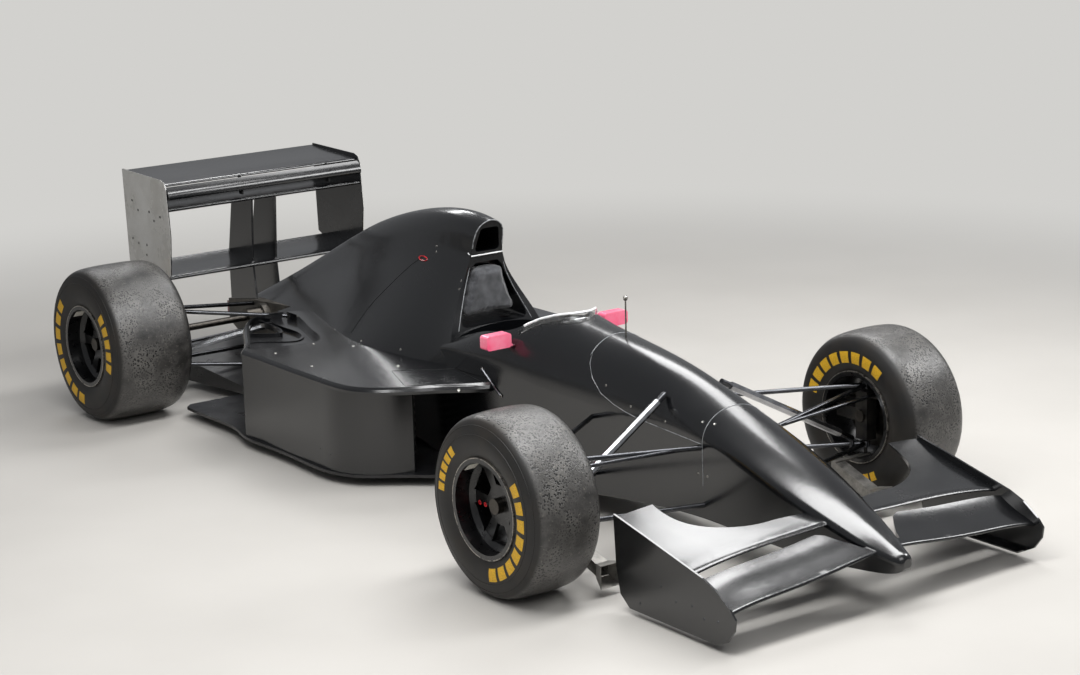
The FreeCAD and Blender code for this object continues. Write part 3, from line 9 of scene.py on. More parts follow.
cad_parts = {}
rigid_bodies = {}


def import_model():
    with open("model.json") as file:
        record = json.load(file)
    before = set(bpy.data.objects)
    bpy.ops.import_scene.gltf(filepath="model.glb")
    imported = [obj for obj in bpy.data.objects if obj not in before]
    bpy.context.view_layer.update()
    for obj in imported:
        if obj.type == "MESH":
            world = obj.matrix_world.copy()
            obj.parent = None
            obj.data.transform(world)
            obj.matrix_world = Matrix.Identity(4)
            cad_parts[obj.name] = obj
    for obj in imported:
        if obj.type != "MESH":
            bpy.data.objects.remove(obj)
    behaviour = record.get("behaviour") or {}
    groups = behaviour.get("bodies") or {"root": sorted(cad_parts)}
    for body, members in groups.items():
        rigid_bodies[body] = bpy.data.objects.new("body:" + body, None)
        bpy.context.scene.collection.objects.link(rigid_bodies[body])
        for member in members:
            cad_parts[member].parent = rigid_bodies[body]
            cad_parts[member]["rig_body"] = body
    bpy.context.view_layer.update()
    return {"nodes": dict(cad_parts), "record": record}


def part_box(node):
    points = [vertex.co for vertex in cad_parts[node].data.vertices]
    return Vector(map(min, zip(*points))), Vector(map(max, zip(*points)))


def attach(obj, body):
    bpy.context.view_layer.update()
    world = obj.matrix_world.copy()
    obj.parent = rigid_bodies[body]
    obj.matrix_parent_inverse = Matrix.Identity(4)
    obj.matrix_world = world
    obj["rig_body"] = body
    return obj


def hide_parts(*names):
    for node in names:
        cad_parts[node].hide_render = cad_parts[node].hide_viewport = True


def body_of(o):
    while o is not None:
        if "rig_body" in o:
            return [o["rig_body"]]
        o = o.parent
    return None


# Open wheel racing car, dressed for a pale studio. Metres, nose towards -Y, +X is the driver's left.
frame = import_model()
nodes = frame["nodes"]


def middleOf(node):
    low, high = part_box(node)
    return (low + high) / 2


sides = ((-1, "Right"), (1, "Left"))
axles = {"front": middleOf("front_tyre_left"), "rear": middleOf("rear_tyre_left")}


def alongCar(station):
    # stations count rearwards from the front axle, as the part's own sizes do
    return axles["front"].y + station


def nameOn(end, kind, word):
    return "%s_%s_%s" % (end, kind, word.lower())


# Shared helpers for materials and meshes.
def hexColour(text):
    # screen colour to linear light
    channels = [int(text[i:i + 2], 16) / 255 for i in (1, 3, 5)]
    return [c / 12.92 if c <= 0.04045 else ((c + 0.055) / 1.055) ** 2.4 for c in channels] + [1.0]


def addNode(tree, kind, settings=None, links=None):
    node = tree.nodes.new(kind)
    for key, value in (settings or {}).items():
        if isinstance(key, int) or key[0].isupper():
            node.inputs[key].default_value = value
        else:
            setattr(node, key, value)
    for key, source in (links or {}).items():
        tree.links.new(source, node.inputs[key])
    return node


finishes = {}


def startMaterial(name, shaderSettings):
    finishes[name] = bpy.data.materials.new(name)
    finishes[name].use_nodes = True
    tree = finishes[name].node_tree
    tree.nodes.clear()
    shader = addNode(tree, "ShaderNodeBsdfPrincipled", shaderSettings)
    addNode(tree, "ShaderNodeOutputMaterial", None, {"Surface": shader.outputs[0]})
    place = addNode(tree, "ShaderNodeTexCoord").outputs["Object"]
    return tree, shader, place


# In the looks a noise is scale, detail and roughness, a span or pair of stops is the part of a value
# that counts, and a bump is strength and depth in metres.
def noiseAt(tree, place, look):
    scale, detail, roughness = look
    settings = {"Scale": scale, "Detail": detail, "Roughness": roughness}
    return addNode(tree, "ShaderNodeTexNoise", settings, {"Vector": place}).outputs["Fac"]


def remap(tree, source, before, after, kind="LINEAR"):
    settings = {1: before[0], 2: before[1], 3: after[0], 4: after[1], "interpolation_type": kind}
    return addNode(tree, "ShaderNodeMapRange", settings, {0: source}).outputs[0]


def combine(tree, operation, first, second):
    return addNode(tree, "ShaderNodeMath", {"operation": operation}, {0: first, 1: second}).outputs[0]


def above(tree, source, limit):
    settings = {"operation": "GREATER_THAN", 1: limit}
    return addNode(tree, "ShaderNodeMath", settings, {0: source}).outputs[0]


def mixColours(tree, factor, first, second):
    # each colour is a hex text or another node's output
    settings = {"data_type": "RGBA"}
    links = {0: factor}
    for key, colour in ((6, first), (7, second)):
        if isinstance(colour, str):
            settings[key] = hexColour(colour)
        else:
            links[key] = colour
    return addNode(tree, "ShaderNodeMix", settings, links).outputs[2]


def tinted(tree, source, stops, colours):
    ramp = addNode(tree, "ShaderNodeValToRGB", None, {"Fac": source})
    for element, position, colour in zip(ramp.color_ramp.elements, stops, colours):
        element.position = position
        element.color = hexColour(colour)
    return ramp.outputs[0]


def dressShader(tree, shader, colour=None, rough=None, height=None, bump=None):
    for socket, source in (("Base Color", colour), ("Roughness", rough)):
        if source is not None:
            tree.links.new(source, shader.inputs[socket])
    if height is not None:
        bumps = addNode(tree, "ShaderNodeBump", {"Strength": bump[0], "Distance": bump[1]},
                        {"Height": height})
        tree.links.new(bumps.outputs[0], shader.inputs["Normal"])


def radiusFrom(tree, place, axle):
    centred = addNode(tree, "ShaderNodeVectorMath", {"operation": "SUBTRACT", 1: (0, axle.y, axle.z)},
                      {0: place})
    across = addNode(tree, "ShaderNodeVectorMath", {"operation": "MULTIPLY", 1: (0, 1, 1)},
                     {0: centred.outputs[0]})
    return addNode(tree, "ShaderNodeVectorMath", {"operation": "LENGTH"},
                   {0: across.outputs[0]}).outputs["Value"]


# A wave texture at scale one repeats about this often in a length of one.
waveRepeats = 3.2


def waves(tree, place, width, direction, distortion=0.0):
    # a bright band and a dark one, each as wide as given, make one repeat
    settings = {"Scale": 0.5 / width / waveRepeats, "bands_direction": direction,
                "Distortion": distortion}
    return addNode(tree, "ShaderNodeTexWave", settings, {"Vector": place}).outputs["Fac"]


def linked(name, data):
    item = bpy.data.objects.new(name, data)
    bpy.context.scene.collection.objects.link(item)
    return item


def linkedMesh(name, bm, finish):
    mesh = bpy.data.meshes.new(name)
    bm.to_mesh(mesh)
    bm.free()
    mesh.materials.append(finishes[finish])
    return linked(name, mesh)


def finishPiece(name, bm, finish, body="chassis", sharpAngle=35.0):
    bmesh.ops.recalc_face_normals(bm, faces=bm.faces)
    piece = linkedMesh(name, bm, finish)
    piece.data.polygons.foreach_set("use_smooth", [True] * len(piece.data.polygons))
    piece.data.set_sharp_from_angle(angle=math.radians(sharpAngle))
    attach(piece, body)
    return piece


treeCache = {}
dressed = {}


def surfaceTree(node):
    if node not in treeCache:
        mesh = dressed.get(node, nodes[node]).data
        corners = [v.co.copy() for v in mesh.vertices]
        treeCache[node] = BVHTree.FromPolygons(corners, [list(p.vertices) for p in mesh.polygons])
    return treeCache[node]


def touchPoint(nodeNames, origin, direction):
    # first point that a straight line meets on the named CAD surfaces
    best = None
    for name in nodeNames:
        spot, normal, index, distance = surfaceTree(name).ray_cast(origin, direction)
        if spot is not None and (best is None or distance < best[2]):
            best = (spot, normal if normal.dot(direction) < 0 else -normal, distance)
    return best


beadLook = {"roundness": 2, "weldShare": 0.02}


def touchFromSide(names, side, station, height):
    return touchPoint(names, Vector((side, alongCar(station), height)), Vector((-side, 0, 0)))


def beadAlong(name, points, radius, finish, body="chassis", closed=False):
    curve = bpy.data.curves.new(name + "Path", "CURVE")
    curve.dimensions = "3D"
    curve.bevel_depth = radius
    curve.bevel_resolution = beadLook["roundness"]
    curve.use_fill_caps = True
    spline = curve.splines.new("POLY")
    spline.points.add(len(points) - 1)
    for target, spot in zip(spline.points, points):
        target.co = (*spot, 1.0)
    spline.use_cyclic_u = closed
    holder = bpy.data.objects.new(name + "Holder", curve)
    bm = bmesh.new()
    bm.from_mesh(holder.to_mesh())
    holder.to_mesh_clear()
    bpy.data.objects.remove(holder)
    bpy.data.curves.remove(curve)
    bmesh.ops.remove_doubles(bm, verts=bm.verts, dist=radius * beadLook["weldShare"])
    return finishPiece(name, bm, finish, body)


def bridgeRings(bm, first, second):
    for index in range(len(first)):
        after = (index + 1) % len(first)
        bm.faces.new((first[index], first[after], second[after], second[index]))


# Black two-pack enamel over carbon shells: deep black, softly glossy, faint dust and orange peel.
paintLook = {
    "colour": "#08090B", "dust": "#2A2926", "roughness": (0.20, 0.30), "dustCover": 0.35,
    "patchNoise": (1 / 0.35, 6.0, 0.62), "patchSpan": (0.35, 0.75), "dustNoise": (900.0, 2.0, 0.5),
    "dustSpan": (0.70, 0.80), "peelNoise": (1 / 0.004, 1.0, 0.5), "peelBump": (0.05, 0.0004),
}


def makePaint():
    tree, shader, place = startMaterial("polishedBlackEnamel", {
        "IOR": 1.5, "Coat Weight": 0.7, "Coat Roughness": 0.14, "Coat IOR": 1.5,
        "Specular IOR Level": 0.5,
    })
    patches = noiseAt(tree, place, paintLook["patchNoise"])
    dust = noiseAt(tree, place, paintLook["dustNoise"])
    dustMask = remap(tree, dust, paintLook["dustSpan"], (0.0, paintLook["dustCover"]))
    dressShader(tree, shader, mixColours(tree, dustMask, paintLook["colour"], paintLook["dust"]),
                remap(tree, patches, paintLook["patchSpan"], paintLook["roughness"]),
                noiseAt(tree, place, paintLook["peelNoise"]), paintLook["peelBump"])


# Satin carbon cloth in clear resin: a twill of 4 mm, drawn twice the real width so that it shows.
carbonLook = {
    "towWidth": 0.004, "waver": 0.3, "turn": (0.3, 0.25, math.radians(45)),
    "dark": "#0B0B0D", "light": "#1B1C1F", "grimeNoise": (9.0, 5.0, 0.5), "grimeSpan": (0.3, 0.7),
    "roughness": (0.26, 0.48), "weaveBump": (0.12, 0.0003),
}


def makeCarbon():
    tree, shader, place = startMaterial("satinCarbonTwill", {
        "IOR": 1.5, "Coat Weight": 0.3, "Coat Roughness": 0.2,
    })
    diagonal = addNode(tree, "ShaderNodeMapping", {"Rotation": carbonLook["turn"]},
                       {"Vector": place}).outputs[0]
    wefts, warps = [waves(tree, diagonal, carbonLook["towWidth"], direction, carbonLook["waver"])
                    for direction in ("X", "Y")]
    weave = combine(tree, "MULTIPLY", wefts, warps)
    grime = noiseAt(tree, place, carbonLook["grimeNoise"])
    dressShader(tree, shader, mixColours(tree, weave, carbonLook["dark"], carbonLook["light"]),
                remap(tree, grime, carbonLook["grimeSpan"], carbonLook["roughness"]),
                weave, carbonLook["weaveBump"])


# Worn racing slick: dark tread with a dull sheen and some painted sheen in its grey, pitted in patches
# with painted shade in the pits and painted glints, and near-black sidewalls with a painted brown
# reflection.
# The radius from the axle tells tread and wall apart.
rubberLook = {
    # The walls run from near-black to brown; the brown is a painted reflection.
    "wall": ("#090705", "#1F180F"), "wallNoise": (9.0, 6.0, 0.5), "wallStops": (0.42, 0.78),
    # The tread's lighter grey is partly scrubbed rubber and partly painted sheen.
    "tread": ("#2B2A29", "#605E5B"), "treadStops": (0.32, 0.68), "treadDepth": (0.021, 0.009),
    # The pits are sunk by the bump and painted near-black as painted shade.
    "patchNoise": (1 / 0.11, 7.0, 0.6), "pit": "#050505", "pitSize": 0.0085, "pitSpan": (0.34, 0.46),
    # The light specks on the tread are painted glints.
    "pitPatchSpan": (0.42, 0.54), "pitLeast": 0.15, "glint": "#77736B",
    "glintNoiseLook": (1 / 0.010, 3.0, 0.5), "glintSpan": (0.63, 0.70), "glintCover": 0.45,
    "grainNoise": (1 / 0.002, 3.0, 0.6), "wallAndTreadRoughness": (0.58, 0.30),
    "wornBump": (0.6, 0.0012),
}


def makeRubber(name, axle):
    look = rubberLook
    tree, shader, place = startMaterial(name, {"IOR": 1.52, "Specular IOR Level": 0.6})
    deep, shallow = look["treadDepth"]
    tread = remap(tree, radiusFrom(tree, place, axle), (axle.z - deep, axle.z - shallow), (0.0, 1.0),
                  "SMOOTHSTEP")
    patches = noiseAt(tree, place, look["patchNoise"])
    # tread tone, partly painted sheen
    treadToneAndSheen = tinted(tree, patches, look["treadStops"], look["tread"])
    cells = addNode(tree, "ShaderNodeTexVoronoi", {"Scale": 1 / look["pitSize"]},
                    {"Vector": place}).outputs["Distance"]
    pits = remap(tree, cells, look["pitSpan"], (1.0, 0.0))
    pitMask = combine(tree, "MULTIPLY", pits,
                      remap(tree, patches, look["pitPatchSpan"], (look["pitLeast"], 1.0)))
    glintField = noiseAt(tree, place, look["glintNoiseLook"])
    glintMask = remap(tree, glintField, look["glintSpan"], (0.0, look["glintCover"]))
    # painted shade in the pits
    pitShaded = mixColours(tree, pitMask, treadToneAndSheen, look["pit"])
    # painted glints on the tread
    glinted = mixColours(tree, glintMask, pitShaded, look["glint"])
    # walls: near-black rubber with a painted brown reflection
    wallReflectionTint = tinted(tree, noiseAt(tree, place, look["wallNoise"]), look["wallStops"], look["wall"])
    grain = noiseAt(tree, place, look["grainNoise"])
    sunk = addNode(tree, "ShaderNodeMath", {"operation": "MULTIPLY_ADD", 1: -1.0},
                   {0: pitMask, 2: grain}).outputs[0]
    dressShader(tree, shader, mixColours(tree, tread, wallReflectionTint, glinted),
                remap(tree, tread, (0.0, 1.0), look["wallAndTreadRoughness"]),
                combine(tree, "MULTIPLY", sunk, tread), look["wornBump"])


# Cast metals and plated steel share a brushed or cast grain, each with its own tint and grit size.
metalGrain = {"patchNoise": (22.0, 7.0, 0.65), "tintStops": (0.35, 0.70), "roughSpan": (0.3, 0.7),
              "gritDetail": (2.0, 0.5), "bump": (0.12, 0.0004)}
# Each row: dark and light tint, metallic share, roughness from and to, grit size.
metalLooks = {
    "wornSteelHub": ("#3F3C39", "#625E58", 1.0, (0.25, 0.5), 0.002),
    "anodisedUpright": ("#2A2A2C", "#47443F", 0.8, (0.35, 0.55), 0.0015),
    "blackChromeSteel": ("#4E4F52", "#5E5F62", 1.0, (0.20, 0.28), 0.003),
    "castMagnesiumCase": ("#4E4C48", "#757069", 0.7, (0.5, 0.7), 0.001),
    "brightFastener": ("#8F8D88", "#C9C6BF", 1.0, (0.2, 0.35), 0.001),
    "polishedPushrod": ("#A9AAAD", "#CFD0D2", 1.0, (0.16, 0.26), 0.003),
    "wornDuctSheet": ("#6A6865", "#A5A29C", 0.7, (0.35, 0.55), 0.004),
    "stainlessTube": ("#5C5B59", "#8C8A86", 1.0, (0.18, 0.3), 0.001),
}


def makeMetal(name):
    dark, light, metallic, rough, grit = metalLooks[name]
    tree, shader, place = startMaterial(name, {"Metallic": metallic})
    patches = noiseAt(tree, place, metalGrain["patchNoise"])
    dressShader(tree, shader, tinted(tree, patches, metalGrain["tintStops"], (dark, light)),
                remap(tree, patches, metalGrain["roughSpan"], rough),
                noiseAt(tree, place, (1 / grit, *metalGrain["gritDetail"])), metalGrain["bump"])


# Painted magnesium rim: black paint, its lip rubbed back to metal by tyre levers.
rimLook = {
    "paint": "#060607", "bare": "#A39E96", "lipRadius": 0.1715, "scuffNoise": (34.0, 8.0, 0.7),
    "bareSpan": (0.42, 0.56), "bareLeast": 0.1, "roughSpan": (0.3, 0.7), "roughness": (0.22, 0.42),
    "gritNoise": (700.0, 2.0, 0.5), "gritBump": (0.1, 0.0004),
}


def makeRim(name, axle):
    tree, shader, place = startMaterial(name, {
        "IOR": 1.5, "Coat Weight": 0.3, "Coat Roughness": 0.15,
    })
    lip = above(tree, radiusFrom(tree, place, axle), rimLook["lipRadius"])
    scuff = noiseAt(tree, place, rimLook["scuffNoise"])
    bare = combine(tree, "MULTIPLY", lip,
                   remap(tree, scuff, rimLook["bareSpan"], (rimLook["bareLeast"], 1.0)))
    tree.links.new(bare, shader.inputs["Metallic"])
    dressShader(tree, shader, mixColours(tree, bare, rimLook["paint"], rimLook["bare"]),
                remap(tree, scuff, rimLook["roughSpan"], rimLook["roughness"]),
                noiseAt(tree, place, rimLook["gritNoise"]), rimLook["gritBump"])


# Rear wing plates: pale painted outer faces and black inner ones, told apart by their distance from
# the middle of the car.
plateLook = {
    "outer": ("#B4B2AC", "#C9C8C4"), "outerStops": (0.35, 0.65), "inner": "#0C0D0F", "faceAt": 0.4985,
    "smearNoise": (7.0, 7.0, 0.6), "roughSpan": (0.3, 0.7), "roughness": (0.18, 0.4),
}


def makePlatePaint():
    tree, shader, place = startMaterial("paleWingPlateEnamel", {
        "IOR": 1.5, "Coat Weight": 0.6, "Coat Roughness": 0.1,
    })
    parts = addNode(tree, "ShaderNodeSeparateXYZ", None, {0: place})
    away = addNode(tree, "ShaderNodeMath", {"operation": "ABSOLUTE"}, {0: parts.outputs[0]})
    outside = above(tree, away.outputs[0], plateLook["faceAt"])
    smears = noiseAt(tree, place, plateLook["smearNoise"])
    outer = tinted(tree, smears, plateLook["outerStops"], plateLook["outer"])
    dressShader(tree, shader, mixColours(tree, outside, plateLook["inner"], outer),
                remap(tree, smears, plateLook["roughSpan"], plateLook["roughness"]))


# Suede leather on the head pad and steering wheel: short nap, dull, a little sheen.
suedeLook = {"tone": ("#2C2D2F", "#56575A"), "toneStops": (0.38, 0.62), "napBump": (0.6, 0.0008),
             "napNoise": (1 / 0.0016, 4.0, 0.7), "blotchNoise": (26.0, 5.0, 0.5)}


def makeSuede():
    tree, shader, place = startMaterial("greySuede", {
        "Roughness": 0.95, "Sheen Weight": 0.4, "Sheen Roughness": 0.5, "Specular IOR Level": 0.15,
    })
    nap = noiseAt(tree, place, suedeLook["napNoise"])
    both = combine(tree, "ADD", nap, noiseAt(tree, place, suedeLook["blotchNoise"]))
    mean = addNode(tree, "ShaderNodeMath", {"operation": "MULTIPLY", 1: 0.5}, {0: both}).outputs[0]
    dressShader(tree, shader, tinted(tree, mean, suedeLook["toneStops"], suedeLook["tone"]),
                None, nap, suedeLook["napBump"])


# Smaller finishes that differ only in tint, gloss and the scale of their grain.
plainGrain = {"detail": (6.0, 0.6), "tintStops": (0.35, 0.62), "roughSpan": (0.3, 0.7),
              "roughShares": (0.75, 1.3)}
# Each row: dark and light tint, roughness, coat weight, scale of the grain.
plainLooks = {
    "fluorescentEnamel": ("#FF5F86", "#FF8CA6", 0.22, 0.8, 9.0),
    "yellowTyreInk": ("#B98E12", "#E3B32A", 0.6, 0.0, 260.0),
    "redMarkerPaint": ("#B3141C", "#D8202A", 0.4, 0.3, 120.0),
    # mid-grey bead painted as the highlight along panel joints and edges
    "greyHighlightBead": ("#5E6063", "#8E9092", 0.3, 0.4, 90.0),
    "jointShadow": ("#020202", "#060606", 0.7, 0.0, 90.0),
    "paperTag": ("#CFCBC0", "#E6E3DA", 0.8, 0.0, 200.0),
    "redAnodising": ("#8E1019", "#C21A26", 0.3, 0.5, 60.0),
    # near-white bead painted as the highlight on cut edges
    "whiteHighlightBead": ("#E2E3E4", "#F6F6F6", 0.2, 0.5, 60.0),
    # matt black for the wing brackets, and for the sheet of painted shade round the airbox mouth
    "mattBlackAndShadeSheet": ("#050505", "#0B0B0B", 0.8, 0.0, 90.0),
}


def makePlain(name):
    dark, light, rough, coat, scale = plainLooks[name]
    tree, shader, place = startMaterial(name, {
        "IOR": 1.5, "Coat Weight": coat, "Coat Roughness": 0.1,
    })
    grain = noiseAt(tree, place, (scale, *plainGrain["detail"]))
    roughness = [min(1.0, rough * share) for share in plainGrain["roughShares"]]
    dressShader(tree, shader, tinted(tree, grain, plainGrain["tintStops"], (dark, light)),
                remap(tree, grain, plainGrain["roughSpan"], roughness))


# Blown acrylic sheet: clear, slightly smoked, with polishing haze.
acrylicLook = {"tint": "#DADCDD", "hazeNoise": (30.0, 6.0, 0.5), "hazeSpan": (0.35, 0.75),
               "roughness": (0.02, 0.14)}


def makeAcrylic():
    tree, shader, place = startMaterial("clearAcrylic", {
        "Base Color": hexColour(acrylicLook["tint"]), "IOR": 1.49, "Transmission Weight": 1.0,
    })
    haze = noiseAt(tree, place, acrylicLook["hazeNoise"])
    rough = remap(tree, haze, acrylicLook["hazeSpan"], acrylicLook["roughness"])
    dressShader(tree, shader, None, rough)


# Soldered radiator core: fins and tubes, as bands much wider than real ones so that they show.
radiatorLook = {"finWidth": 0.008, "tubeWidth": 0.016, "tone": ("#0B0B0B", "#5B5954"),
                "toneStops": (0.1, 0.8), "finBump": (0.8, 0.003)}


def makeRadiator():
    tree, shader, place = startMaterial("radiatorCore", {"Metallic": 0.6, "Roughness": 0.55})
    both = combine(tree, "MULTIPLY", waves(tree, place, radiatorLook["finWidth"], "X"),
                   waves(tree, place, radiatorLook["tubeWidth"], "Z"))
    dressShader(tree, shader, tinted(tree, both, radiatorLook["toneStops"], radiatorLook["tone"]),
                None, both, radiatorLook["finBump"])


# Moulded red lens with a grid of prisms.
lensLook = {"tone": ("#C2121A", "#5E060A"), "toneStops": (0.05, 0.5), "prismScale": 120.0,
            "prismBump": (0.6, 0.001)}


def makeLens():
    tree, shader, place = startMaterial("redMouldedLens", {
        "IOR": 1.49, "Coat Weight": 1.0, "Coat Roughness": 0.05, "Roughness": 0.2,
    })
    prisms = addNode(tree, "ShaderNodeTexVoronoi", {"Scale": lensLook["prismScale"], "Randomness": 0.0},
                     {"Vector": place}).outputs["Distance"]
    dressShader(tree, shader, tinted(tree, prisms, lensLook["toneStops"], lensLook["tone"]),
                None, prisms, lensLook["prismBump"])


for name in metalLooks:
    makeMetal(name)
for name in plainLooks:
    makePlain(name)
for maker in (makePaint, makeCarbon, makePlatePaint, makeSuede, makeAcrylic, makeRadiator, makeLens):
    maker()
for end, axle in axles.items():
    makeRubber(end + "SlickRubber", axle)
    makeRim(end + "RimPaint", axle)
slotFinishes = {
    "black_paint": "polishedBlackEnamel", "carbon": "satinCarbonTwill",
    "floor_carbon": "satinCarbonTwill", "endplate_grey": "paleWingPlateEnamel",
    "pad_suede": "greySuede", "grip_suede": "greySuede", "clear_screen": "clearAcrylic",
    "mirror_paint": "fluorescentEnamel", "radiator_metal": "radiatorCore",
    "red_lamp": "redMouldedLens", "steel_hub": "wornSteelHub", "dark_upright": "anodisedUpright",
    "black_steel_rod": "blackChromeSteel", "cast_metal": "castMagnesiumCase",
    "pitot_metal": "stainlessTube", "slick_tyre": None, "black_rim": None,
}
nodeSlots = {part["node"]: part["material_slot"] for part in frame["record"]["subparts"]}
for node, item in nodes.items():
    wanted = slotFinishes.get(nodeSlots.get(node))
    if wanted is None:
        end = "front" if node.startswith("front") else "rear"
        wanted = end + ("SlickRubber" if "tyre" in node else "RimPaint")
    if node.startswith("brake_duct"):
        wanted = "wornDuctSheet"
    for holder in item.material_slots:
        holder.material = finishes[wanted]
print("finishes given to", len(nodes), "CAD nodes")


# Panel joints: a thin mid-grey bead, half sunk in the skin, painted as the highlight along the joint's
# edge.
# Each ring: station, height of its middle, first and last angle, steps.
jointLook = {
    "radius": 0.0015, "coverRadius": 0.0014, "deckRadius": 0.0012,
    "noseRing": (-0.140, 0.33, -25, 205, 60),
    "hatchSide": [(-0.136, 0.4105), (0.0, 0.4185), (0.120, 0.427), (0.200, 0.434), (0.270, 0.446),
                  (0.331, 0.462), (0.398, 0.488), (0.455, 0.534), (0.490, 0.579), (0.504, 0.614)],
    "hatchRing": (0.506, 0.50, 38, 142, 28),
}
tubSkins = ("nose_cone", "front_hatch", "monocoque")


def ringOnSkin(names, ring):
    station, centreHeight, fromDegrees, toDegrees, steps = ring
    spots = []
    for index in range(steps + 1):
        angle = math.radians(fromDegrees + (toDegrees - fromDegrees) * index / steps)
        outward = Vector((math.cos(angle), 0, math.sin(angle)))
        centre = Vector((0, alongCar(station), centreHeight))
        found = touchPoint(names, centre + outward, -outward)
        if found:
            spots.append(found[0])
    return spots


beadAlong("noseSeam", ringOnSkin(tubSkins, jointLook["noseRing"]), jointLook["radius"], "greyHighlightBead")


def sideSpots(names, outline, side):
    found = [touchFromSide(names, side, station, height) for station, height in outline]
    return [spot[0] for spot in found if spot]


hatchLine = sideSpots(tubSkins, jointLook["hatchSide"], -1)
hatchLine += list(reversed(ringOnSkin(tubSkins, jointLook["hatchRing"])))
hatchLine += list(reversed(sideSpots(tubSkins, jointLook["hatchSide"], 1)))
beadAlong("hatchSeam", hatchLine, jointLook["radius"], "greyHighlightBead")
print("panel joints laid")

# Quarter-turn fasteners and screw heads, laid on the surface where the photograph shows them.
fastenerLook = {"radius": 0.0062, "smallRadius": 0.0062 * 0.8, "thickness": 0.0016, "segments": 16,
                "topShare": 0.82, "rimShare": 0.45, "slotShare": 0.5, "sharpAngle": 30}


def screwHead(name, spot, normal, radius, finish, body="chassis"):
    bm = bmesh.new()
    bmesh.ops.create_cone(bm, cap_ends=True, segments=fastenerLook["segments"], radius1=radius,
                          radius2=radius * fastenerLook["topShare"], depth=fastenerLook["thickness"])
    top = max(bm.faces, key=lambda face: face.calc_center_median().z)
    bmesh.ops.inset_individual(bm, faces=[top], thickness=radius * fastenerLook["rimShare"], depth=0.0)
    sunk = -fastenerLook["thickness"] * fastenerLook["slotShare"]
    bmesh.ops.translate(bm, verts=top.verts, vec=(0, 0, sunk))
    turn = normal.to_track_quat("Z", "Y").to_matrix().to_4x4()
    bmesh.ops.transform(bm, verts=bm.verts, matrix=Matrix.Translation(spot) @ turn)
    return finishPiece(name, bm, finish, body, sharpAngle=fastenerLook["sharpAngle"])


def joinPieces(name, pieces):
    bm = bmesh.new()
    for piece in pieces:
        bm.from_mesh(piece.data)
    finish = pieces[0].data.materials[0].name
    body = body_of(pieces[0])[0]
    for piece in pieces:
        mesh = piece.data
        bpy.data.objects.remove(piece)
        bpy.data.meshes.remove(mesh)
    return finishPiece(name, bm, finish, body, sharpAngle=fastenerLook["sharpAngle"])


def scatterHeads(name, places, radius, finish, body="chassis"):
    heads = []
    for index, (names, origin, direction) in enumerate(places):
        found = touchPoint(names, Vector(origin), Vector(direction))
        if found:
            heads.append(screwHead("%s%d" % (name, index), found[0], found[1], radius, finish, body))
    return joinPieces(name, heads)


deckFasteners = {"height": 0.8, "spots": [
    (0.566, 1.205), (0.354, 1.038), (0.368, 1.434), (0.600, 1.700), (0.600, 1.980), (0.420, 1.980),
    (0.330, 1.820),
]}
decks = ("sidepod_right", "sidepod_left")
topDown = [(decks, (side * half, alongCar(station), deckFasteners["height"]), (0, 0, -1))
           for half, station in deckFasteners["spots"] for side in (-1, 1)]
scatterHeads("deckFasteners", topDown, fastenerLook["radius"], "brightFastener")

headRows = {
    "noseFasteners": {
        "skins": tubSkins, "reach": 1.0, "radius": fastenerLook["smallRadius"],
        "finish": "brightFastener",
        "spots": [(-0.164, 0.482), (-0.164, 0.300), (-0.116, 0.482), (-0.116, 0.300), (0.240, 0.470),
                  (0.380, 0.520), (0.060, 0.450)],
    },
    "coverFasteners": {
        "skins": ("engine_cover",), "reach": 1.0, "radius": fastenerLook["smallRadius"],
        "finish": "brightFastener",
        "spots": [(1.829, 0.440), (2.100, 0.430), (2.380, 0.400), (2.640, 0.372), (1.560, 0.452)],
    },
    "frontPlateScrews": {
        "skins": ("front_endplates",), "reach": 1.2, "radius": 0.0052, "finish": "blackChromeSteel",
        "spots": [(-0.583, 0.144), (-0.657, 0.110), (-0.737, 0.119), (-0.795, 0.092), (-0.862, 0.101),
                  (-0.474, 0.056)],
    },
    "wingPlateBolts": {
        "skins": ("rear_endplates",), "reach": 1.2, "radius": 0.0062, "finish": "jointShadow",
        "spots": [(3.360, 0.842), (3.308, 0.804), (3.203, 0.810), (3.102, 0.801), (3.161, 0.775),
                  (3.375, 0.667), (3.320, 0.653), (3.243, 0.655), (3.250, 0.609)],
    },
    "hoopFasteners": {
        "skins": ("engine_cover",), "reach": 1.0, "radius": 0.0055, "finish": "brightFastener",
        "spots": [(1.561, 0.844), (1.555, 0.822), (1.350, 0.741), (1.343, 0.712)],
    },
}


def layHeadRow(name):
    # lines start as far out as the reach and run straight inwards from both sides
    row = headRows[name]
    places = [(row["skins"], (side * row["reach"], alongCar(station), height), (-side, 0, 0))
              for station, height in row["spots"] for side in (-1, 1)]
    scatterHeads(name, places, row["radius"], row["finish"])


for name in ("noseFasteners", "coverFasteners", "frontPlateScrews", "wingPlateBolts"):
    layHeadRow(name)
print("fasteners laid")

# Tyres turned again with a rounded crown and shoulders, since the solids have straight sections.
tyreLook = {
    "front": {"radius": 0.3180, "half": 0.1450, "tread": 0.1220, "drop": 0.0090},
    "rear": {"radius": 0.3310, "half": 0.1860, "tread": 0.1660, "drop": 0.0090},
    "beadInset": 0.0140, "beadRadius": 0.1660, "flangeRadius": 0.1750, "wallLow": 0.2120,
    "wallHighDrop": 0.0620, "crownShare": 0.5, "cuts": 3, "segments": 112,
}


def roundedLine(corners, times):
    # corner cutting: each pass takes a quarter off both ends of every straight
    for turn in range(times):
        smoother = [corners[0]]
        for before, after in zip(corners, corners[1:]):
            smoother.append(before.lerp(after, 0.25))
            smoother.append(before.lerp(after, 0.75))
        smoother.append(corners[-1])
        corners = smoother
    return corners


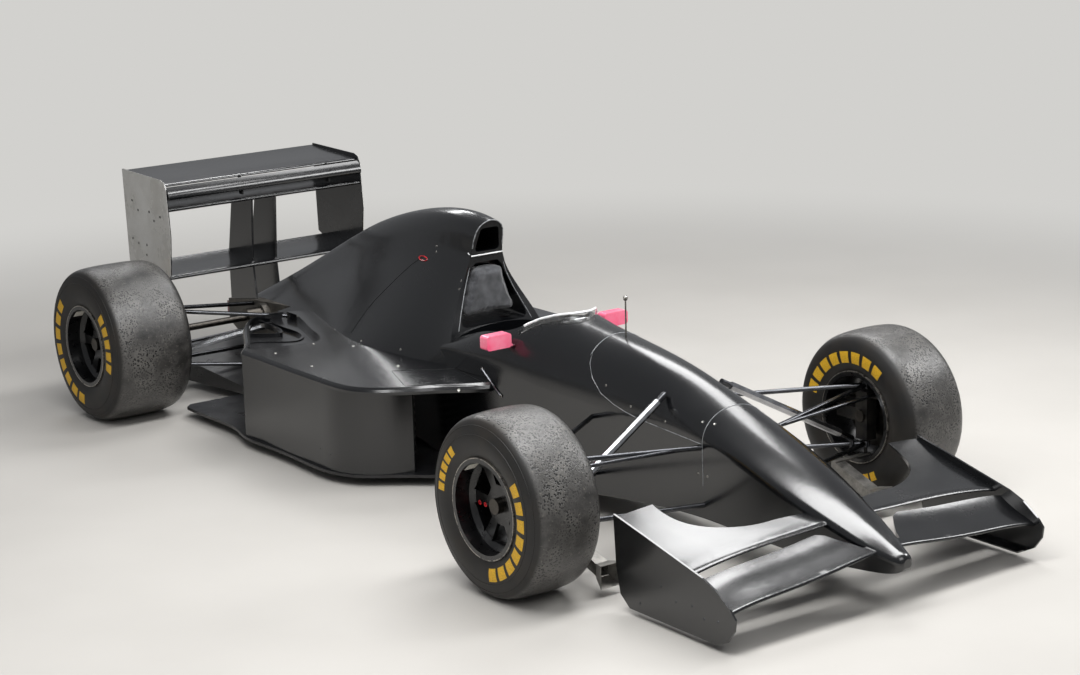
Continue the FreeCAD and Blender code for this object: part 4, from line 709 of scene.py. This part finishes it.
def turnedTyre(name, node, axle, look, body, finish):
    seat = Vector((tyreLook["beadInset"] - look["half"], tyreLook["beadRadius"]))
    wall = [
        Vector((seat.x, tyreLook["flangeRadius"])), Vector((-look["half"], tyreLook["wallLow"])),
        Vector((-look["half"], look["radius"] - tyreLook["wallHighDrop"])),
        Vector((-look["tread"], look["radius"] - look["drop"])),
        Vector((-look["tread"] * tyreLook["crownShare"], look["radius"])),
    ]
    outer = wall + [Vector((-spot.x, spot.y)) for spot in reversed(wall)]
    section = [seat] + roundedLine(outer, tyreLook["cuts"]) + [Vector((-seat.x, seat.y))]
    centre = middleOf(node)
    bm = bmesh.new()
    rings = []
    for index in range(tyreLook["segments"]):
        turn = math.tau * index / tyreLook["segments"]
        rings.append([bm.verts.new((centre.x + spot.x, axle.y + spot.y * math.cos(turn),
                                    axle.z + spot.y * math.sin(turn))) for spot in section])
    for ring, after in zip(rings, rings[1:] + rings[:1]):
        bridgeRings(bm, ring, after)
    piece = finishPiece(name, bm, finish, body, sharpAngle=60)
    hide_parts(node)
    dressed[node] = piece


for side, word in sides:
    for end, axle in axles.items():
        turnedTyre("%sSlick%s" % (end, word), nameOn(end, "tyre", word), axle, tyreLook[end],
                   nameOn(end, "wheel", word), end + "SlickRubber")

# Generic yellow blocks printed on both walls of each tyre. Each group: first angle, count, pitch, inner
# and outer radius.
blockLook = {
    "front": ((145, 8, 15.0, 0.199, 0.243), (4, 5, 9.5, 0.214, 0.246)),
    "rear": ((138, 5, 12.5, 0.214, 0.260), (-85, 8, 16.5, 0.218, 0.260)),
    "frontInner": ((53, 8, 14.5, 0.206, 0.250), (-75, 2, 9.5, 0.214, 0.246)),
    "rearInner": ((45, 8, 14.5, 0.216, 0.260),),
    "filled": 0.72, "proud": 0.0006, "thickness": 0.0006 * 1.6, "grid": 4,
}


# A line starts outside the wheels or between them and the tub.
wheelReach = {"outside": 1.3, "inside": 0.2}


def onWheel(side, axle, reach, degrees, across=wheelReach["outside"]):
    angle = math.radians(degrees if side < 0 else 180 - degrees)
    return Vector((side * across, axle.y + reach * math.cos(angle), axle.z + reach * math.sin(angle)))


def thinPatch(bm, outward, thickness):
    bmesh.ops.recalc_face_normals(bm, faces=bm.faces)
    inward = [face for face in bm.faces if face.normal.dot(outward) < 0]
    bmesh.ops.reverse_faces(bm, faces=inward)
    bmesh.ops.solidify(bm, geom=bm.faces, thickness=thickness)


def wallBlocks(name, tyreNode, axle, side, look, body, across=wheelReach["outside"]):
    away = side if across == wheelReach["outside"] else -side
    bm = bmesh.new()
    for first, count, pitch, inner, outer in look:
        for index in range(count):
            start = first + index * pitch
            grid = bmesh.ops.create_grid(bm, x_segments=blockLook["grid"],
                                         y_segments=blockLook["grid"], size=0.5)
            for vert in grid["verts"]:
                degrees = start + (vert.co.x + 0.5) * pitch * blockLook["filled"]
                reach = inner + (vert.co.y + 0.5) * (outer - inner)
                origin = onWheel(side, axle, reach, degrees, across)
                found = touchPoint((tyreNode,), origin, Vector((-away, 0, 0)))
                vert.co = found[0] + Vector((away * blockLook["proud"], 0, 0))
    thinPatch(bm, Vector((away, 0, 0)), blockLook["thickness"])
    return finishPiece(name, bm, "yellowTyreInk", body)


# Moulded rings of the tyre walls, and what lies inside the rims: sticker, balance weight and red marks.
ringLook = {"front": (0.254, 0.284), "rear": (0.272, 0.300), "bead": 0.0016, "degreeStep": 4}
rimPatches = {
    "rimSticker": {"degrees": (44, 60), "across": (0.930, 0.972)},
    "rimWeight": {"degrees": (238, 247), "across": (0.930, 0.962)},
}
patchLook = {"proud": 0.0008, "thickness": 0.0006, "grid": (10, 6)}
markLook = {"stations": (0.020, 0.052, 0.086, 0.118), "height": 0.300, "radius": 0.009}


def wallRings(name, tyreNode, axle, side, reaches, body):
    rings = []
    for index, reach in enumerate(reaches):
        spots = [touchPoint((tyreNode,), onWheel(side, axle, reach, degrees), Vector((-side, 0, 0)))
                 for degrees in range(0, 360, ringLook["degreeStep"])]
        rings.append(beadAlong("%s%d" % (name, index), [spot[0] for spot in spots], ringLook["bead"],
                               tyreNode.split("_")[0] + "SlickRubber", body, closed=True))
    return joinPieces(name, rings)


def rimPatch(name, rimNode, axle, side, look, body):
    bm = bmesh.new()
    around, across = patchLook["grid"]
    grid = bmesh.ops.create_grid(bm, x_segments=around, y_segments=across, size=0.5)
    lowTurn, highTurn = look["degrees"]
    lowAcross, highAcross = look["across"]
    for vert in grid["verts"]:
        degrees = lowTurn + (vert.co.x + 0.5) * (highTurn - lowTurn)
        across = lowAcross + (vert.co.y + 0.5) * (highAcross - lowAcross)
        outward = onWheel(side, axle, 1.0, degrees, across)
        centre = Vector((side * across, axle.y, axle.z))
        found = touchPoint((rimNode,), centre, (outward - centre).normalized())
        if found is None:
            bm.free()
            return None
        vert.co = found[0] + (centre - found[0]).normalized() * patchLook["proud"]
    bmesh.ops.solidify(bm, geom=bm.faces, thickness=patchLook["thickness"])
    return finishPiece(name, bm, "paperTag", body)


for side, word in sides:
    for end, axle in axles.items():
        tyreNode, rimNode, body = [nameOn(end, kind, word) for kind in ("tyre", "rim", "wheel")]
        wallBlocks("%sWallBlocks%s" % (end, word), tyreNode, axle, side, blockLook[end], body)
        wallBlocks("%sInnerBlocks%s" % (end, word), tyreNode, axle, side, blockLook[end + "Inner"],
                   body, wheelReach["inside"])
        wallRings("%sWallRings%s" % (end, word), tyreNode, axle, side, ringLook[end], body)
        for patchName, look in rimPatches.items():
            rimPatch("%s%s%s" % (end, patchName.capitalize(), word), rimNode, axle, side, look, body)
    frontRim = (nameOn("front", "rim", word),)
    marks = [(frontRim, (side * wheelReach["outside"], alongCar(station), markLook["height"]),
              (-side, 0, 0)) for station in markLook["stations"]]
    scatterHeads("frontRimMarks" + word, marks, markLook["radius"], "redMarkerPaint",
                 nameOn("front", "wheel", word))
print("tyre walls and rims marked")


# The screen's upper edge, cut and polished: a near-white bead painted as the highlight along it.
def upperEdge(node, centre, fromDegrees, toDegrees, bins):
    best = {}
    for vert in nodes[node].data.vertices:
        flat = vert.co - centre
        degrees = math.degrees(math.atan2(-flat.y, flat.x))
        if fromDegrees <= degrees <= toDegrees:
            key = int((degrees - fromDegrees) / (toDegrees - fromDegrees) * bins)
            if key not in best or vert.co.z > best[key].z:
                best[key] = vert.co.copy()
    return [best[key] for key in sorted(best)]


screenLook = {"degrees": (2, 178), "bins": 40, "bead": 0.0045}
screenCentre = Vector((0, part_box("windscreen")[1].y, 0))
screenSpots = upperEdge("windscreen", screenCentre, *screenLook["degrees"], screenLook["bins"])
beadAlong("screenEdge", screenSpots, screenLook["bead"], "whiteHighlightBead")


# Airbox mouth: a matt near-black sheet of painted shade round it on the cover's front face, with a thin
# grey lip outside and a white sill below, both painted highlights.
# The frame beads edging the recess under the mouth are painted highlights too.
mouthLook = {
    "startY": -5.0, "height": 0.905, "front": 1.352, "reach": 0.16, "step": 0.0015, "firstStep": 8,
    "turns": 64, "facing": -0.6, "proud": 0.0012, "thickness": 0.0012 * 0.9, "lip": 0.0024,
    "lipFrom": 0.86, "turnDrop": 0.06, "sill": 0.0024 * 1.2, "sillHeight": 0.836, "sillHalf": 0.076,
    "sillTurn": 0.010, "sillShares": (-1, -0.95, -0.5, 0, 0.5, 0.95, 1),
}
frameLook = {"bead": 0.0018, "outline": (
    (0.176, 0.560), (0.150, 0.620), (0.118, 0.690), (0.094, 0.750), (0.078, 0.800),
)}


def touchCoverFront(x, height):
    # the line starts well ahead of the nose
    return touchPoint(("engine_cover",), Vector((x, mouthLook["startY"], height)), Vector((0, 1, 0)))


def frontFace(turns):
    # inner and outer limit of the cover's forward face, seen from the front at each angle
    rings = []
    for index in range(turns):
        angle = math.tau * index / turns
        spots = []
        for step in range(mouthLook["firstStep"], int(mouthLook["reach"] / mouthLook["step"])):
            reach = step * mouthLook["step"]
            found = touchCoverFront(reach * math.cos(angle),
                                    mouthLook["height"] + reach * math.sin(angle))
            ahead = found and found[0].y < alongCar(mouthLook["front"])
            if ahead and found[1].y < mouthLook["facing"]:
                spots.append(found[0])
            elif spots:
                break
        if spots:
            rings.append((spots[0], spots[-1]))
    return rings


faceRings = frontFace(mouthLook["turns"])
# the sheet round the mouth is painted shade
shadeSheet = bmesh.new()
lift = Vector((0, -mouthLook["proud"], 0))
shadeSheetVerts = [(shadeSheet.verts.new(inner + lift), shadeSheet.verts.new(outer + lift))
               for inner, outer in faceRings]
for (inner, outer), (nextInner, nextOuter) in zip(shadeSheetVerts, shadeSheetVerts[1:] + shadeSheetVerts[:1]):
    shadeSheet.faces.new((inner, outer, nextOuter, nextInner))
thinPatch(shadeSheet, Vector((0, -1, 0)), mouthLook["thickness"])
finishPiece("mouthShadeSheet", shadeSheet, "mattBlackAndShadeSheet", sharpAngle=60)
lipSpots = [outer + lift for inner, outer in faceRings if outer.z > mouthLook["lipFrom"]]
turnHeight = mouthLook["height"] - mouthLook["turnDrop"]
lipSpots.sort(key=lambda spot: math.atan2(spot.z - turnHeight, -spot.x))
beadAlong("mouthLip", lipSpots, mouthLook["lip"], "greyHighlightBead")
sill = []
for share in mouthLook["sillShares"]:
    height = mouthLook["sillHeight"] + (mouthLook["sillTurn"] if abs(share) == 1 else 0)
    found = touchCoverFront(share * mouthLook["sillHalf"], height)
    if found:
        sill.append(found[0] + lift * 2)
beadAlong("mouthSill", sill, mouthLook["sill"], "whiteHighlightBead")
for side, word in sides:
    found = [touchCoverFront(side * half, height) for half, height in frameLook["outline"]]
    beadAlong("hoopFrame" + word, [spot[0] for spot in found if spot], frameLook["bead"],
              "greyHighlightBead")

# Joint of the engine cover behind the hoop, with its red pull ring and small fasteners.
coverJoint = [(1.640, 0.790), (1.700, 0.750), (1.750, 0.704), (1.790, 0.665), (1.818, 0.636),
              (1.865, 0.589), (1.900, 0.540), (1.925, 0.490), (1.940, 0.450)]
for side, word in sides:
    beadAlong("coverJoint" + word, sideSpots(("engine_cover",), coverJoint, side),
              jointLook["coverRadius"], "jointShadow")
pullLook = {"station": 1.630, "height": 0.786, "half": 0.030, "tall": 0.008, "turns": 20,
            "bead": 0.0028}
pullSpots = []
for index in range(pullLook["turns"]):
    angle = math.tau * index / pullLook["turns"]
    pullSpots.append((pullLook["station"] + pullLook["half"] * math.cos(angle),
                      pullLook["height"] + pullLook["tall"] * math.sin(angle)))
beadAlong("pullRing", sideSpots(("engine_cover",), pullSpots, -1), pullLook["bead"],
          "redAnodising", closed=True)
layHeadRow("hoopFasteners")

# Panel on the front of each sidepod deck, and a stay rod that rests on the tub's side with both ends.
stayLook = {"ends": ((1.030, 0.471), (0.925, 0.385)), "radius": 0.0042, "headRadius": 0.008}
deckPanel = {"corners": [(0.423, 1.394), (0.240, 1.226), (0.275, 0.978), (0.502, 1.183)],
             "steps": 12, "height": 0.8, "leastSpots": 30}
for side, word in sides:
    outline = []
    corners = deckPanel["corners"]
    for (half, station), (nextHalf, nextStation) in zip(corners, corners[1:] + corners[:1]):
        for step in range(deckPanel["steps"]):
            share = step / deckPanel["steps"]
            spot = Vector((side * (half + (nextHalf - half) * share),
                           alongCar(station + (nextStation - station) * share), deckPanel["height"]))
            found = touchPoint(("sidepod_" + word.lower(),), spot, Vector((0, 0, -1)))
            if found:
                outline.append(found[0])
    if len(outline) > deckPanel["leastSpots"]:
        beadAlong("deckPanelJoint" + word, outline, jointLook["deckRadius"], "jointShadow",
                  closed=True)
    ends = []
    for station, height in stayLook["ends"]:
        found = touchFromSide(tubSkins, side, station, height)
        ends.append(found[0] + found[1] * stayLook["radius"])
    beadAlong("podStay" + word, ends, stayLook["radius"], "blackChromeSteel")
    stayHeads = [screwHead("stayHead%s%d" % (word, index), spot, Vector((side, 0, 0)),
                           stayLook["headRadius"], "brightFastener")
                 for index, spot in enumerate(ends)]
    joinPieces("podStayBolts" + word, stayHeads)
print("cover and deck details laid")

# Pitot head: a polished ball on the mast's tip.
ballLook = {"radius": 0.0085, "sink": 0.004, "around": 20, "upwards": 12}
pitotTop = max((v.co.copy() for v in nodes["pitot"].data.vertices), key=lambda spot: spot.z)
ball = bmesh.new()
bmesh.ops.create_uvsphere(ball, u_segments=ballLook["around"], v_segments=ballLook["upwards"],
                          radius=ballLook["radius"])
bmesh.ops.translate(ball, verts=ball.verts, vec=(pitotTop.x, pitotTop.y, pitotTop.z - ballLook["sink"]))
finishPiece("pitotBall", ball, "brightFastener", sharpAngle=60)

# Pushrods: polished tubes, thicker than the arms. Each ends short of the joints it runs between.
rodLook = {
    "front": {"outer": (0.704, 0.006, 0.236), "inner": (0.130, 0.081, 0.543), "shares": (0.10, 0.93)},
    "rear": {"outer": (0.705, 2.925, 0.222), "inner": (0.070, 2.560, 0.400), "shares": (0.10, 0.85)},
    "bead": 0.0155,
}
for side, word in sides:
    for end in ("front", "rear"):
        look = rodLook[end]
        outer, inner = [Vector((side * half, alongCar(station), height))
                        for half, station, height in (look["outer"], look["inner"])]
        ends = [outer.lerp(inner, share) for share in look["shares"]]
        beadAlong("%sPushrodTube%s" % (end, word), ends, rodLook["bead"], "polishedPushrod")

# Scoop at the mouth of each front brake duct: four flared plates of worn sheet.
scoopLook = {"throat": (0.602, 0.656, -0.186, 0.052, 0.104),
             "mouth": (0.585, 0.676, -0.236, 0.030, 0.112), "thickness": 0.002}


def scoopRing(bm, side, corners):
    near, far, station, low, high = corners
    return [bm.verts.new((side * half, alongCar(station), height))
            for half, height in ((near, low), (far, low), (far, high), (near, high))]


for side, word in sides:
    bm = bmesh.new()
    bridgeRings(bm, scoopRing(bm, side, scoopLook["throat"]), scoopRing(bm, side, scoopLook["mouth"]))
    bmesh.ops.recalc_face_normals(bm, faces=bm.faces)
    bmesh.ops.solidify(bm, geom=bm.faces, thickness=scoopLook["thickness"])
    finishPiece("ductScoop" + word, bm, "wornDuctSheet", "knuckle_" + word.lower(),
                sharpAngle=20)

# Two upright brackets across the slot of the rear wing.
bracketLook = {"across": (-0.120, 0.330), "thickness": 0.006, "outline": (
    (3.030, 0.862), (3.060, 0.862), (3.066, 0.945), (3.046, 0.945), (3.034, 0.905),
)}
bm = bmesh.new()
for middle in bracketLook["across"]:
    faces = []
    for side in (-0.5, 0.5):
        corners = [bm.verts.new((middle + side * bracketLook["thickness"], alongCar(station), height))
                   for station, height in bracketLook["outline"]]
        faces.append(corners)
        bm.faces.new(corners)
    bridgeRings(bm, *faces)
finishPiece("wingBrackets", bm, "mattBlackAndShadeSheet", sharpAngle=20)
print("rods, pitot, ducts and wing dressed")


# Head pad: suede over foam, filled out by a short cloth run and then kept.
padLook = {"weld": 0.00005, "shrink": 0.965, "voxel": 0.005, "pressure": 4.0, "frames": 20,
           "cap": 0.008, "fill": 0.8}


def softPad(node, name):
    bm = bmesh.new()
    bm.from_mesh(nodes[node].data)
    bmesh.ops.remove_doubles(bm, verts=bm.verts, dist=padLook["weld"])
    middle = middleOf(node)
    for vert in bm.verts:
        vert.co = middle + (vert.co - middle) * padLook["shrink"]
    piece = finishPiece(name, bm, "greySuede", sharpAngle=180)
    even = piece.modifiers.new("evenMesh", "REMESH")
    even.mode = "VOXEL"
    even.voxel_size = padLook["voxel"]
    bakeShape(piece)
    start = [vert.co.copy() for vert in piece.data.vertices]
    cloth = piece.modifiers.new("stuffing", "CLOTH")
    cloth.settings.use_pressure = True
    cloth.settings.uniform_pressure_force = padLook["pressure"]
    cloth.settings.effector_weights.gravity = 0
    for step in range(1, padLook["frames"] + 1):
        bpy.context.scene.frame_set(step)
    bakeShape(piece)
    bpy.context.scene.frame_set(1)
    for vert, before in zip(piece.data.vertices, start):
        moved = vert.co - before
        if moved.length > padLook["cap"]:
            vert.co = before + moved.normalized() * padLook["cap"]
    smooth = piece.modifiers.new("smoothNap", "SUBSURF")
    smooth.levels = smooth.render_levels = 1
    bakeShape(piece)
    piece.data.polygons.foreach_set("use_smooth", [True] * len(piece.data.polygons))
    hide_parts(node)
    return piece


def bakeShape(piece):
    evaluated = piece.evaluated_get(bpy.context.evaluated_depsgraph_get())
    mesh = bpy.data.meshes.new_from_object(evaluated)
    old = piece.data
    piece.modifiers.clear()
    piece.data = mesh
    bpy.data.meshes.remove(old)


softPad("headrest_pad", "suedeHeadPad")
print("head pad filled")


# Stage, lamps and camera.
stageLook = {
    "floor": ("#B4B1AC", "#B9B6B1"), "floorStops": (0.3, 0.7), "scuffNoise": (1.4, 5.0, 0.5),
    "span": 60.0, "fade": (2.7, 6.2), "world": ("#D2D1CE", 1.0), "ambient": ("#E4E6EA", 0.32),
}


def seenByEye(tree):
    rays = addNode(tree, "ShaderNodeLightPath").outputs
    return combine(tree, "MAXIMUM", rays["Is Camera Ray"], rays["Is Transmission Ray"])


def makeFloorPaint():
    tree, shader, place = startMaterial("palePaintedFloor", {
        "Roughness": 0.6, "Specular IOR Level": 0.3,
    })
    scuffs = noiseAt(tree, place, stageLook["scuffNoise"])
    dressShader(tree, shader, tinted(tree, scuffs, stageLook["floorStops"], stageLook["floor"]))
    # far off, the eye sees the floor run out into the backdrop
    distance = addNode(tree, "ShaderNodeVectorMath", {"operation": "LENGTH"}, {0: place})
    fade = remap(tree, distance.outputs["Value"], stageLook["fade"], (0.0, 1.0), "SMOOTHSTEP")
    colour, strength = stageLook["world"]
    backdrop = addNode(tree, "ShaderNodeEmission", {"Color": hexColour(colour), "Strength": strength})
    runOut = addNode(tree, "ShaderNodeMixShader", None, {
        0: combine(tree, "MULTIPLY", fade, seenByEye(tree)),
        1: shader.outputs[0], 2: backdrop.outputs[0],
    })
    floorOutput = [node for node in tree.nodes if node.type == "OUTPUT_MATERIAL"][0]
    tree.links.new(runOut.outputs[0], floorOutput.inputs["Surface"])


makeFloorPaint()
floorMesh = bmesh.new()
bmesh.ops.create_grid(floorMesh, x_segments=1, y_segments=1, size=stageLook["span"] / 2)
studioFloor = linkedMesh("studioFloor", floorMesh, "palePaintedFloor")

world = bpy.data.worlds.new("paleStudio")
bpy.context.scene.world = world
world.use_nodes = True
worldTree = world.node_tree
worldTree.nodes.clear()
ambient, visible = [
    addNode(worldTree, "ShaderNodeBackground", {"Color": hexColour(colour), "Strength": strength})
    for colour, strength in (stageLook["ambient"], stageLook["world"])
]
blend = addNode(worldTree, "ShaderNodeMixShader", None,
                {0: seenByEye(worldTree), 1: ambient.outputs[0], 2: visible.outputs[0]})
addNode(worldTree, "ShaderNodeOutputWorld", None, {"Surface": blend.outputs[0]})

lampLooks = {
    "crownStrip": {"place": (1.6, 6.2, 4.6), "aim": (0.0, 1.2, 0.9), "size": (3.0, 0.5), "power": 60},
    "flapBox": {"place": (2.6, 1.6, 4.6), "aim": (-0.4, -0.7, 0.3), "size": (2.5, 2.0), "power": 110},
    "overheadStrip": {"place": (-0.8, -1.7, 4.8), "aim": (-0.4, -1.7, 0.4), "size": (1.3, 7.2),
                      "power": 370},
    "slatBox": {"place": (3.2, -2.3, 3.0), "aim": (0.0, 1.8, 0.9), "size": (1.9, 1.3), "power": 80},
    "frontBox": {"place": (-2.5, -6.0, 5.0), "aim": (0.0, 0.0, 0.3), "size": (4.0, 3.0), "power": 110},
}
for name, look in lampLooks.items():
    lamp = bpy.data.lights.new(name, "AREA")
    lamp.shape = "RECTANGLE"
    lamp.size, lamp.size_y = look["size"]
    lamp.energy = look["power"]
    holder = linked(name, lamp)
    holder.location = look["place"]
    towards = Vector(look["aim"]) - Vector(look["place"])
    holder.rotation_euler = towards.to_track_quat("-Z", "Y").to_euler()

cameraLook = {
    "place": (-5.33051, -7.50359, 2.77832),
    "turnDegrees": (76.16871, 1.43685, -36.60296),
    "lens": 80.588, "sensorWidth": 36.0, "farthest": 200.0,
}
lens = bpy.data.cameras.new("photoView")
lens.sensor_fit = "HORIZONTAL"
lens.sensor_width = cameraLook["sensorWidth"]
lens.lens = cameraLook["lens"]
lens.clip_end = cameraLook["farthest"]
photoView = linked("photoView", lens)
photoView.location = cameraLook["place"]
photoView.rotation_euler = [math.radians(turn) for turn in cameraLook["turnDegrees"]]
bpy.context.scene.camera = photoView
bpy.context.scene.view_settings.view_transform = "Standard"
print("stage, lamps and camera set")
